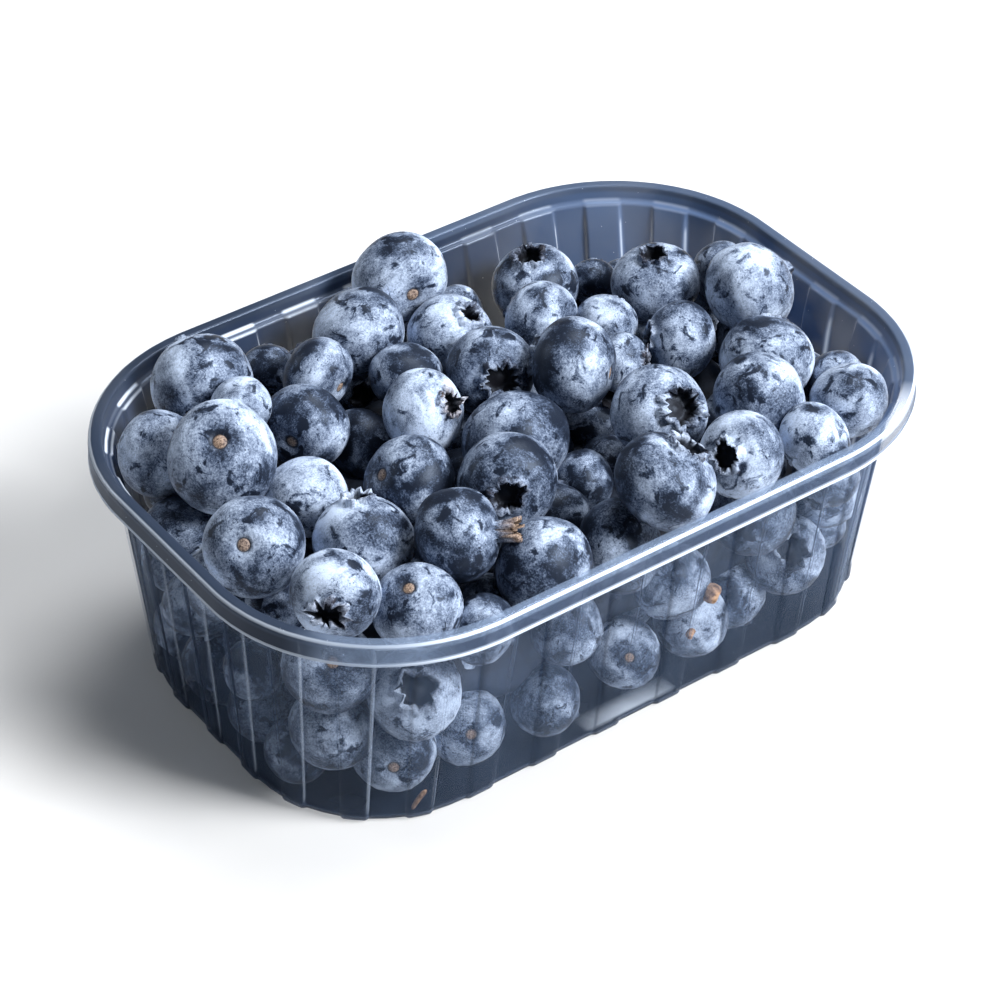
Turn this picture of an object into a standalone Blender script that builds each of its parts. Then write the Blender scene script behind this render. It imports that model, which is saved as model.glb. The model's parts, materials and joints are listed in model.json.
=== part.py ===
"""Clear plastic punnet filled with blueberries.

Two pieces: the thermoformed punnet, a thin shell with ribbed walls and a
turned-down rim, and the heap of berries that fills it. Metres, +Z up. The
origin is under the middle of the punnet, on the surface it stands on, and the
long side lies along X.
"""

import math

import bmesh
import bpy

MM = 0.001

# Rim, measured over its turned-down lip.
RIM_LENGTH = 143 * MM
RIM_WIDTH = 100 * MM
RIM_CORNER = 35 * MM
RIM_HEIGHT = 48.6 * MM
LIP_DROP = 4.2 * MM
FLANGE_WIDTH = 2.6 * MM
RIM_EDGE_ROUND = 0.5 * MM

# Stacking ledge under the rim.
COLLAR_DROP = 2.8 * MM
COLLAR_SLANT = 0.5 * MM
LEDGE_WIDTH = 1.0 * MM
LEDGE_DROP = 0.4 * MM

# Foot of the wall, over the ribs.
BASE_LENGTH = 128.8 * MM
BASE_WIDTH = 79 * MM
BASE_CORNER = 27 * MM
BASE_ROUND = 0.9 * MM

# The base is flat but for a band along its edge, which rises by a hair.
BASE_BAND = 4 * MM
BASE_LIFT = 0.05 * MM

# Ribs that stand out from the wall all round.
RIB_COUNT = 30
RIB_DEPTH_TOP = 1.2 * MM
RIB_DEPTH_BASE = 0.6 * MM
RIB_WIDTH_TOP = 5.6 * MM
RIB_WIDTH_BASE = 4.0 * MM
RIB_FLANK = 0.9 * MM

WALL = 0.45 * MM
GAP = 0.3 * MM

# How far in and up the middle of a quarter circle lies, for each unit of its radius.
ARC_MIDDLE = 1 - math.sqrt(0.5)

# Heap of berries: a skin that is let down on the berries from above and pressed in from the
# wall. A berry is round out to CAP_SHARE of its radius, and from there its flank falls
# straight to the next berry, or to the fill between them.
HEAP_CELLS_LONG = 46
HEAP_CELLS_WIDE = 32
HEAP_SIDE_STEPS = 8
GRID_SHARE = 0.86
PROBE_HEIGHT = 70 * MM
FILL_LEVEL = 32 * MM
DEEPEST_DIP = 5 * MM
BERRY_SKIN = 0.4 * MM
CAP_SHARE = 0.8
FLANK_SLOPE = 1.4
VALLEY_ROUND = 1.5 * MM
EDGE_STEPS = 8

# Berries under the top layer that nobody places singly: rows along the wall, and a layer inside.
ROW_HEIGHTS = (7.6 * MM, 19.5 * MM, 31 * MM)
ROW_SPACING = 14.6 * MM
LAYER_HEIGHT = 32 * MM
LAYER_SPACING = 14.5 * MM
LAYER_INSET = 8 * MM
ROW_PACKING = 0.87
FILL_WIDTHS = (13 * MM, 15 * MM, 14 * MM, 16 * MM, 12 * MM)
NEAREST_SHARE = 0.8

# Berries of the top layer, in millimetres: middle x, y and z, then width.
# The groups run from the left end to the right end, each from back to front.
TOP_BERRIES = (
    # left end
    (-41, 38, 46, 18),
    (-58, 27, 44, 15),
    (-40, 25, 48, 11),
    (-51, 15, 48, 19),
    (-59, 16, 35, 13),
    (-58, -8, 46, 17),
    (-57, -14, 35, 12),
    (-54, -27, 47, 15),
    # left of the middle
    (-25, 40, 40, 11),
    (-23, 26, 47, 13),
    (-32, 17, 45, 15),
    (-21, 15, 37, 13),
    (-41, 3, 42, 15),
    (-26, -7, 45, 16),
    (-41, -15, 44, 17),
    (-30, -27, 48, 16),
    (-42, -33, 42, 15),
    (-28, -32, 34, 12),
    # middle
    (4, 39, 49, 17),
    (-10, 32, 47, 17),
    (16, 38, 37, 10),
    (5, 25, 44, 16),
    (-10, 17, 46, 13),
    (4, 11, 45, 16),
    (-14, 6, 47, 15),
    (-4, -8, 44, 19),
    (14, -1, 49, 17),
    (-14, -19, 47, 17),
    (5, -16, 36, 11),
    (-4, -19, 35, 13),
    (-20, -38, 42, 17),
    (-1, -35, 38, 16),
    (5, -38, 50, 18),
    # right of the middle
    (30, 32, 41, 16),
    (42, 30, 38, 9),
    (21, 18, 45, 14),
    (31, 12, 43, 12),
    (27, 2, 42, 11),
    (40, 1, 42, 14),
    (20, -18, 46, 17),
    (24, -36, 46, 15),
    # right end
    (46, 16, 44, 16),
    (60, 14, 41, 12),
    (56, 1, 47, 17),
    (49, -13, 42, 17),
    (37, -25, 46, 17),
    (59, -22, 38, 12),
    (51, -35, 45, 14),
    (38, -40, 45, 13),
)

# Berries below them that lean on the front and left walls, as the groups above.
WALL_BERRIES = (
    (-60, -7, 19, 11),
    (-57, -8, 8, 14),
    (-57, -18, 6, 12),
    (-56, -23, 28, 16),
    (-55, -24, 13, 15),
    (-47, -27, 8, 15),
    (-44, -34, 25, 16),
    (-32, -40, 36, 12),
    (-31, -30, 8, 14),
    (-16, -33, 8, 13),
    (-14, -37, 26, 13),
    (1, -34, 11, 13),
    (10, -36, 24, 14),
    (19, -33, 9, 14),
    (30, -31, 8, 14),
    (36, -34, 14, 15),
    (50, -29, 22, 15),
)


class Outline:
    """Rounded rectangle that the punnet follows at one height."""

    def __init__(self, length, width, corner):
        self.half_length = length / 2
        self.half_width = width / 2
        self.corner = corner

    def inset(self, distance):
        """Outline that lies the given distance inside this one."""
        return Outline(
            2 * (self.half_length - distance),
            2 * (self.half_width - distance),
            self.corner - distance,
        )

    def blend(self, other, share):
        """Outline part of the way from this one to the other."""
        def mix(first, second):
            return first + (second - first) * share

        return Outline(
            2 * mix(self.half_length, other.half_length),
            2 * mix(self.half_width, other.half_width),
            mix(self.corner, other.corner),
        )

    def pieces(self):
        """Lengths of its straight and round runs, from the middle of the front side round to it."""
        front = self.half_length - self.corner
        side = 2 * (self.half_width - self.corner)
        arc = self.corner * math.pi / 2
        return (front, arc, side, arc, 2 * front, arc, side, arc, front)

    def perimeter(self):
        """Distance once round the outline."""
        return sum(self.pieces())

    def locate(self, travel):
        """Run, and share of it, that lies at this distance round the outline."""
        travel %= self.perimeter()
        for run, length in enumerate(self.pieces()):
            if travel <= length:
                return run, travel / length
            travel -= length
        return 0, 0.0

    def point(self, run, share):
        """Point on one run of the outline, with its outward direction."""
        reach_x = self.half_length - self.corner
        reach_y = self.half_width - self.corner
        if run % 2 == 1:
            quarter = run // 2
            centre_x = reach_x if quarter in (0, 1) else -reach_x
            centre_y = reach_y if quarter in (1, 2) else -reach_y
            angle = math.radians(90 * (quarter - 1 + share))
            out = (math.cos(angle), math.sin(angle))
            return (centre_x + self.corner * out[0], centre_y + self.corner * out[1]), out
        if run == 0:
            return (reach_x * share, -self.half_width), (0, -1)
        if run == 2:
            return (self.half_length, reach_y * (2 * share - 1)), (1, 0)
        if run == 4:
            return (reach_x * (1 - 2 * share), self.half_width), (0, 1)
        if run == 6:
            return (-self.half_length, reach_y * (1 - 2 * share)), (-1, 0)
        return (reach_x * (share - 1), -self.half_width), (0, -1)


RIM = Outline(RIM_LENGTH, RIM_WIDTH, RIM_CORNER)
WALL_TOP = RIM.inset(FLANGE_WIDTH + COLLAR_SLANT + LEDGE_WIDTH - WALL)
WALL_TOP_HEIGHT = RIM_HEIGHT - COLLAR_DROP - LEDGE_DROP
WALL_FOOT = Outline(BASE_LENGTH, BASE_WIDTH, BASE_CORNER)


def wall_share(height):
    """How far up the wall a height lies, from 0 at the foot to 1 under the ledge."""
    return min(max(height / WALL_TOP_HEIGHT, 0), 1)


def wall_outline(height):
    """Outline of the wall over its ribs at one height."""
    return WALL_FOOT.blend(WALL_TOP, wall_share(height))


def rib_depth(height):
    """How far the ribs stand out of the wall at one height."""
    return RIB_DEPTH_BASE + (RIB_DEPTH_TOP - RIB_DEPTH_BASE) * wall_share(height)


def rib_stations(height):
    """Places round the wall where its section turns, each with 1 on a rib and 0 between two."""
    pitch = WALL_TOP.perimeter() / RIB_COUNT
    half = (RIB_WIDTH_BASE + (RIB_WIDTH_TOP - RIB_WIDTH_BASE) * wall_share(height)) / 2
    stations = []
    for rib in range(RIB_COUNT):
        middle = (rib + 0.5) * pitch
        for offset, raised in ((-half - RIB_FLANK, 0), (-half, 1), (half, 1), (half + RIB_FLANK, 0)):
            stations.append((WALL_TOP.locate(middle + offset), raised))
    return stations


def ring(outline, height, depth=0.0):
    """Closed ring of points that runs along the outline on the ribs and dips in between them."""
    points = []
    for (run, share), raised in rib_stations(height):
        (x, y), out = outline.point(run, share)
        dip = depth * (1 - raised)
        points.append((x - out[0] * dip, y - out[1] * dip, height))
    return points


def new_object(name, mesh, material, collection):
    """Object made from the mesh, in the part's collection."""
    item = bpy.data.objects.new(name, mesh)
    item.data.materials.append(material)
    collection.objects.link(item)
    return item


def plain_material(name, colour, roughness):
    """Material of one colour."""
    material = bpy.data.materials.new(name)
    material.use_nodes = True
    shader = material.node_tree.nodes["Principled BSDF"]
    shader.inputs["Base Color"].default_value = (*colour, 1.0)
    shader.inputs["Roughness"].default_value = roughness
    shader.inputs["Metallic"].default_value = 0.0
    return material


def punnet_rings():
    """Rings of the face that can be seen from above: floor, inside of the wall, rim and lip."""
    floor_edge = WALL_FOOT.inset(WALL + BASE_ROUND + RIB_DEPTH_BASE)
    round_height = WALL + BASE_ROUND
    round_middle = WALL + ARC_MIDDLE * BASE_ROUND
    collar_foot = RIM.inset(FLANGE_WIDTH + COLLAR_SLANT)
    collar_top = RIM.inset(FLANGE_WIDTH)
    return [
        ring(floor_edge.inset(BASE_BAND), WALL),
        ring(floor_edge, WALL + BASE_LIFT),
        ring(WALL_FOOT.inset(round_middle), round_middle, RIB_DEPTH_BASE),
        ring(wall_outline(round_height).inset(WALL), round_height, rib_depth(round_height)),
        ring(WALL_TOP.inset(WALL), WALL_TOP_HEIGHT, RIB_DEPTH_TOP),
        ring(collar_foot, WALL_TOP_HEIGHT + LEDGE_DROP),
        ring(collar_top, RIM_HEIGHT - RIM_EDGE_ROUND),
        ring(collar_top.inset(-RIM_EDGE_ROUND), RIM_HEIGHT),
        ring(RIM.inset(RIM_EDGE_ROUND), RIM_HEIGHT),
        ring(RIM, RIM_HEIGHT - RIM_EDGE_ROUND),
        ring(RIM, RIM_HEIGHT - LIP_DROP),
    ]


def build_punnet(collection):
    """Skin through the rings, closed by the floor, and thickened away from the berries."""
    shape = bmesh.new()
    loops = [[shape.verts.new(point) for point in points] for points in punnet_rings()]
    for lower, upper in zip(loops, loops[1:]):
        for index, corner in enumerate(lower):
            after = (index + 1) % len(lower)
            shape.faces.new((corner, upper[index], upper[after], lower[after]))
    shape.faces.new(loops[0])
    mesh = bpy.data.meshes.new("punnet")
    shape.to_mesh(mesh)
    shape.free()
    material = plain_material("clear plastic", (0.62, 0.68, 0.76), 0.08)
    item = new_object("punnet", mesh, material, collection)
    shell = item.modifiers.new("Wall", "SOLIDIFY")
    shell.thickness = WALL
    shell.offset = -1.0
    shell.use_even_offset = True


def room_inside(outline, x, y):
    """How far inside the outline a spot lies, below 0 outside it."""
    across = abs(x) - outline.half_length + outline.corner
    along = abs(y) - outline.half_width + outline.corner
    if across > 0 and along > 0:
        return outline.corner - math.hypot(across, along)
    return outline.corner - max(across, along)


def wall_rows():
    """Berries in rows round the wall, each a number of even steps from the middle of the front."""
    for row, height in enumerate(ROW_HEIGHTS):
        inner = wall_outline(height).inset(rib_depth(height) + WALL)
        count = round(inner.inset(ROW_SPACING / 2).perimeter() / ROW_SPACING)
        for step in range(count):
            width = FILL_WIDTHS[(step + row) % len(FILL_WIDTHS)]
            outline = inner.inset(width / 2)
            travel = (step + row / 2) / count * outline.perimeter()
            (x, y), _ = outline.point(*outline.locate(travel))
            yield x, y, height, width


def inner_layer():
    """Berries side by side under the top layer, in rows that are shifted by half a step."""
    inner = wall_outline(LAYER_HEIGHT).inset(LAYER_INSET)
    rows = round(2 * inner.half_width / LAYER_SPACING / ROW_PACKING)
    steps = round(2 * inner.half_length / LAYER_SPACING)
    for row in range(rows + 1):
        y = inner.half_width * (2 * row / rows - 1)
        for step in range(steps + 1):
            x = (step + row % 2 / 2) * LAYER_SPACING - inner.half_length
            if room_inside(inner, x, y) > 0:
                yield x, y, LAYER_HEIGHT, FILL_WIDTHS[(step + row) % len(FILL_WIDTHS)]


def all_berries():
    """Every berry that shapes the heap: those placed singly, then the fill where there is room."""
    berries = [tuple(size * MM for size in berry) for berry in TOP_BERRIES + WALL_BERRIES]
    for berry in (*wall_rows(), *inner_layer()):
        if all(
            math.dist(berry[:3], other[:3]) >= NEAREST_SHARE * (berry[3] + other[3]) / 2
            for other in berries
        ):
            berries.append(berry)
    return berries


BERRIES = all_berries()


def soft_min(first, second):
    """Smaller of two distances, with the valley between them filled a little."""
    nearness = max(VALLEY_ROUND - abs(first - second), 0) / VALLEY_ROUND
    return min(first, second) - nearness**2 * VALLEY_ROUND / 4


def reach(start, direction, furthest):
    """How far a probe goes from a point in one direction before it meets a berry."""
    nearest = furthest
    for middle_x, middle_y, middle_z, width in BERRIES:
        radius = width / 2 + BERRY_SKIN
        to_middle = (middle_x - start[0], middle_y - start[1], middle_z - start[2])
        ahead = sum(there * step for there, step in zip(to_middle, direction))
        aside = math.sqrt(max(math.hypot(*to_middle) ** 2 - ahead**2, 0))
        cap_edge = CAP_SHARE * radius
        distance = ahead - math.sqrt(radius**2 - min(aside, cap_edge) ** 2)
        distance += FLANK_SLOPE * max(aside - cap_edge, 0)
        nearest = soft_min(nearest, distance)
    return max(nearest, 0)


def heap_height(x, y):
    """Height of the heap over one spot: that of the highest berry there."""
    return PROBE_HEIGHT - reach((x, y, PROBE_HEIGHT), (0, 0, -1), PROBE_HEIGHT - FILL_LEVEL)


def heap_section(height):
    """Outline of the heap at one height: the wall's inner face, less the gap."""
    return wall_outline(height).inset(rib_depth(height) + WALL + GAP)


def heap_side(place, height):
    """Spot on the heap's side at one height: the wall, or the nearest berry where it stands off."""
    (x, y), out = heap_section(height).point(*place)
    dip = reach((x, y, height), (-out[0], -out[1], 0), DEEPEST_DIP)
    return x - out[0] * dip, y - out[1] * dip


def heap_edge(place):
    """Where the heap's top meets its side: the height settles within a few steps."""
    height = FILL_LEVEL
    for _ in range(EDGE_STEPS):
        height += (heap_height(*heap_side(place, height)) - height) / 2
    return (*heap_side(place, height), height)


def square_travel(x, y):
    """Share of the way round a square at which a line from its middle through this point leaves it.

    It counts from the middle of the front side, to the right.
    """
    reach = max(abs(x), abs(y))
    side = 2 * reach
    if reach == 0:
        return 0.0
    if -y == reach and x >= 0:
        distance = x
    elif x == reach:
        distance = side + y
    elif y == reach:
        distance = 2 * side - x
    elif -x == reach:
        distance = 3 * side - y
    else:
        distance = 4 * side + x
    return distance / (4 * side)


def outline_place(vertex, travel_layer):
    """Run of the outline, and share of it, that belongs to a point of the heap."""
    return WALL_TOP.locate(vertex[travel_layer] * WALL_TOP.perimeter())


def shape_top(shape, travel_layer):
    """Bend the flat grid into the berries' tops.

    Towards the middle the grid stays square, and towards its edge it follows the wall.
    """
    middle = heap_section(RIM_HEIGHT)
    for vertex in shape.verts:
        across, along = vertex.co.x, vertex.co.y
        share = max(abs(across), abs(along))
        vertex[travel_layer] = square_travel(across, along)
        edge_x, edge_y, edge_height = heap_edge(outline_place(vertex, travel_layer))
        square_x = across * middle.half_length * GRID_SHARE
        square_y = along * middle.half_width * GRID_SHARE
        x = square_x + (edge_x * share - square_x) * share
        y = square_y + (edge_y * share - square_y) * share
        vertex.co = (x, y, edge_height if vertex.is_boundary else heap_height(x, y))


def close_below(shape, travel_layer):
    """Draw the edge of the top down over the berries at the wall, and close it with a flat base."""
    floor = WALL + BASE_LIFT + GAP
    foot_height = floor + BASE_ROUND
    edge = [item for item in shape.edges if item.is_boundary]
    for step in range(HEAP_SIDE_STEPS + 1):
        grown = bmesh.ops.extrude_edge_only(shape, edges=edge)["geom"]
        edge = [item for item in grown if isinstance(item, bmesh.types.BMEdge) and item.is_boundary]
        for vertex in {corner for item in edge for corner in item.verts}:
            place = outline_place(vertex, travel_layer)
            if step == HEAP_SIDE_STEPS:
                out = heap_section(floor).point(*place)[1]
                vertex.co = (vertex.co.x - out[0] * BASE_ROUND, vertex.co.y - out[1] * BASE_ROUND, floor)
            else:
                height = vertex.co.z + (foot_height - vertex.co.z) / (HEAP_SIDE_STEPS - step)
                vertex.co = (*heap_side(place, height), height)
    bmesh.ops.edgeloop_fill(shape, edges=edge)


def build_heap(collection):
    """One solid for all the berries, from the uneven top down to the punnet's floor."""
    shape = bmesh.new()
    bmesh.ops.create_grid(shape, x_segments=HEAP_CELLS_LONG, y_segments=HEAP_CELLS_WIDE, size=1.0)
    travel_layer = shape.verts.layers.float.new("travel")
    shape_top(shape, travel_layer)
    close_below(shape, travel_layer)
    bmesh.ops.recalc_face_normals(shape, faces=shape.faces)
    mesh = bpy.data.meshes.new("blueberries")
    shape.to_mesh(mesh)
    shape.free()
    material = plain_material("berry skin", (0.09, 0.13, 0.24), 0.55)
    new_object("blueberries", mesh, material, collection)


def clear_scene():
    """Remove what the scene holds at the start."""
    for item in list(bpy.data.objects):
        bpy.data.objects.remove(item, do_unlink=True)


def main():
    """Build the punnet and its berries in a collection of their own."""
    clear_scene()
    collection = bpy.data.collections.new("blueberry_punnet")
    bpy.context.scene.collection.children.link(collection)
    build_punnet(collection)
    build_heap(collection)


main()
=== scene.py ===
"""Looks of a clear plastic punnet heaped with blueberries.

The punnet becomes a fine thermoformed shell, and the heap becomes single berries over a dark core.
Metres, +Z up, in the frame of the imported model: the long side lies along X and the punnet stands on
the plane Z = 0. Sizes are given in millimetres and turned into metres by MM.
"""

import json
import logging
import math
import random
from dataclasses import dataclass
from enum import Enum

import bmesh
import bpy
import numpy as np
from mathutils import Matrix, Vector, noise

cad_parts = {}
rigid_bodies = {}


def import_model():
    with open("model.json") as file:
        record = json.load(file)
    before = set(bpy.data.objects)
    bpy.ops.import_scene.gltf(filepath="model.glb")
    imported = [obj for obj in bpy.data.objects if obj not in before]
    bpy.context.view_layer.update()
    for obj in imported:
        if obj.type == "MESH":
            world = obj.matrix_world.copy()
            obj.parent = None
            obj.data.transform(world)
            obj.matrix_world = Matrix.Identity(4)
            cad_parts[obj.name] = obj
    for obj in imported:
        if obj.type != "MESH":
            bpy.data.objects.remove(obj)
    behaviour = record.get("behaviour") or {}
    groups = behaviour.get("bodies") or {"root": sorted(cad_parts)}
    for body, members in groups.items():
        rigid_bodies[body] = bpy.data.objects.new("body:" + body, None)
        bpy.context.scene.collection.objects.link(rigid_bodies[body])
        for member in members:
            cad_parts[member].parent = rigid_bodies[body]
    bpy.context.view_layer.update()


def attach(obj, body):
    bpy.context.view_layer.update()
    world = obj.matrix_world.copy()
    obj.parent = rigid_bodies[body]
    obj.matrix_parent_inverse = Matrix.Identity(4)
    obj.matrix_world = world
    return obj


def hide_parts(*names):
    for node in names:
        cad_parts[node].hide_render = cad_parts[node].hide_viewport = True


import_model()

MM = 0.001
LOG = logging.getLogger("punnet")


# --------------------------------------------------------------------------------------------------
# Shader helpers
# --------------------------------------------------------------------------------------------------


class Shading:
    """Builds the nodes of one material or node group."""

    def __init__(self, tree: bpy.types.NodeTree) -> None:
        """Start on a node tree.

        Args:
            tree: the tree that gets the nodes.
        """
        self.tree = tree

    def node(self, kind: str, values: dict | None = None, **settings: object) -> bpy.types.Node:
        """Add a node.

        Args:
            kind: the node's Blender type name.
            values: value or source socket for each of its inputs, by name or number.
            settings: properties to set on the node itself.

        Returns:
            The new node.
        """
        made = self.tree.nodes.new(kind)
        for name, value in settings.items():
            setattr(made, name, value)
        for name, value in (values or {}).items():
            self.put(value, made.inputs[name])
        return made

    def put(self, value: object, socket: bpy.types.NodeSocket) -> None:
        """Give a socket its value, or link it to where the value comes from.

        Args:
            value: a number, a tuple or an output socket.
            socket: the input that takes it.
        """
        if isinstance(value, bpy.types.NodeSocket):
            self.tree.links.new(value, socket)
        elif socket.type == "RGBA" and len(value) == 3:
            socket.default_value = (*value, 1.0)
        else:
            socket.default_value = value

    def math(self, operation: str, *values: object, clamp: bool = False) -> bpy.types.NodeSocket:
        """Result of one sum on numbers.

        Args:
            operation: the Math node's operation.
            values: its numbers or source sockets, in order.
            clamp: keep the result between 0 and 1.

        Returns:
            The output socket.
        """
        made = self.node("ShaderNodeMath", operation=operation, use_clamp=clamp)
        for value, socket in zip(values, made.inputs):
            self.put(value, socket)
        return made.outputs[0]

    def mix(self, share: object, first: object, second: object) -> bpy.types.NodeSocket:
        """Colour between two others.

        Args:
            share: 0 for the first colour, 1 for the second.
            first: colour or source socket.
            second: colour or source socket.

        Returns:
            The output socket.
        """
        made = self.node("ShaderNodeMix", data_type="RGBA")
        for socket, value in ((0, share), (6, first), (7, second)):
            self.put(value, made.inputs[socket])
        return made.outputs[2]

    def mix_number(self, share: object, first: object, second: object) -> bpy.types.NodeSocket:
        """Number between two others.

        Args:
            share: 0 for the first number, 1 for the second.
            first: number or source socket.
            second: number or source socket.

        Returns:
            The output socket.
        """
        made = self.node("ShaderNodeMix", {0: share, 2: first, 3: second}, data_type="FLOAT")
        return made.outputs[0]

    def step(self, value: object, low: float, high: float) -> bpy.types.NodeSocket:
        """Smooth step from 0 at low to 1 at high.

        Args:
            value: the number or source socket that is stepped.
            low: where the step starts.
            high: where it ends.

        Returns:
            The output socket.
        """
        made = self.node(
            "ShaderNodeMapRange",
            {"Value": value, "From Min": low, "From Max": high},
            interpolation_type="SMOOTHSTEP",
        )
        return made.outputs[0]

    def attribute(self, name: str) -> bpy.types.Node:
        """Node that reads one of the mesh's own attributes."""
        return self.node("ShaderNodeAttribute", attribute_name=name)

    def noise(self, place: object, scale: float, detail: float = 3.0, **values: float) -> bpy.types.NodeSocket:
        """Noise value from 0 to 1.

        Args:
            place: source socket of the coordinates.
            scale: how many blobs lie in one unit.
            detail: octaves of finer noise.
            values: further inputs of the node, by name.

        Returns:
            The output socket.
        """
        inputs = {"Vector": place, "Scale": scale, "Detail": detail, **values}
        return self.node("ShaderNodeTexNoise", inputs).outputs[0]


def new_material(name: str) -> tuple[bpy.types.Material, Shading, bpy.types.Node]:
    """Empty node material.

    Args:
        name: the material's name.

    Returns:
        The material, the helper on its tree, and its output node.
    """
    material = bpy.data.materials.new(name)
    material.use_nodes = True
    material.node_tree.nodes.clear()
    shading = Shading(material.node_tree)
    output = shading.node("ShaderNodeOutputMaterial")
    return material, shading, output


def new_group(name: str, inputs: dict[str, tuple[str, object]], outputs: dict[str, str]) -> tuple:
    """Empty shader node group.

    Args:
        name: the group's name.
        inputs: socket type and default value of each input, by name.
        outputs: socket type of each output, by name.

    Returns:
        The group, the helper on its tree, and its input and output nodes.
    """
    group = bpy.data.node_groups.new(name, "ShaderNodeTree")
    for socket_name, (kind, value) in inputs.items():
        socket = group.interface.new_socket(socket_name, in_out="INPUT", socket_type=kind)
        if value is not None:
            socket.default_value = value
    for socket_name, kind in outputs.items():
        group.interface.new_socket(socket_name, in_out="OUTPUT", socket_type=kind)
    shading = Shading(group)
    return group, shading, shading.node("NodeGroupInput"), shading.node("NodeGroupOutput")


def speckle_group() -> bpy.types.NodeTree:
    """Node group for fine specks, as of dust on plastic or of pores in a berry's bloom.

    Returns:
        The group, with a mask of the specks as its output.
    """
    group, shading, source, sink = new_group(
        "Speckle",
        {
            "Vector": ("NodeSocketVector", None),
            "Scale": ("NodeSocketFloat", 100.0),
            "Size": ("NodeSocketFloat", 0.12),
            "Share": ("NodeSocketFloat", 0.3),
        },
        {"Mask": "NodeSocketFloat"},
    )
    cells = shading.node(
        "ShaderNodeTexVoronoi",
        {"Vector": source.outputs["Vector"], "Scale": source.outputs["Scale"]},
    )
    chosen = shading.node("ShaderNodeSeparateColor", {"Color": cells.outputs["Color"]})
    near = shading.math("LESS_THAN", cells.outputs["Distance"], source.outputs["Size"])
    kept = shading.math("LESS_THAN", chosen.outputs[0], source.outputs["Share"])
    shading.put(shading.math("MULTIPLY", near, kept), sink.inputs["Mask"])
    return group


# --------------------------------------------------------------------------------------------------
# Finishes
# --------------------------------------------------------------------------------------------------


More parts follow.
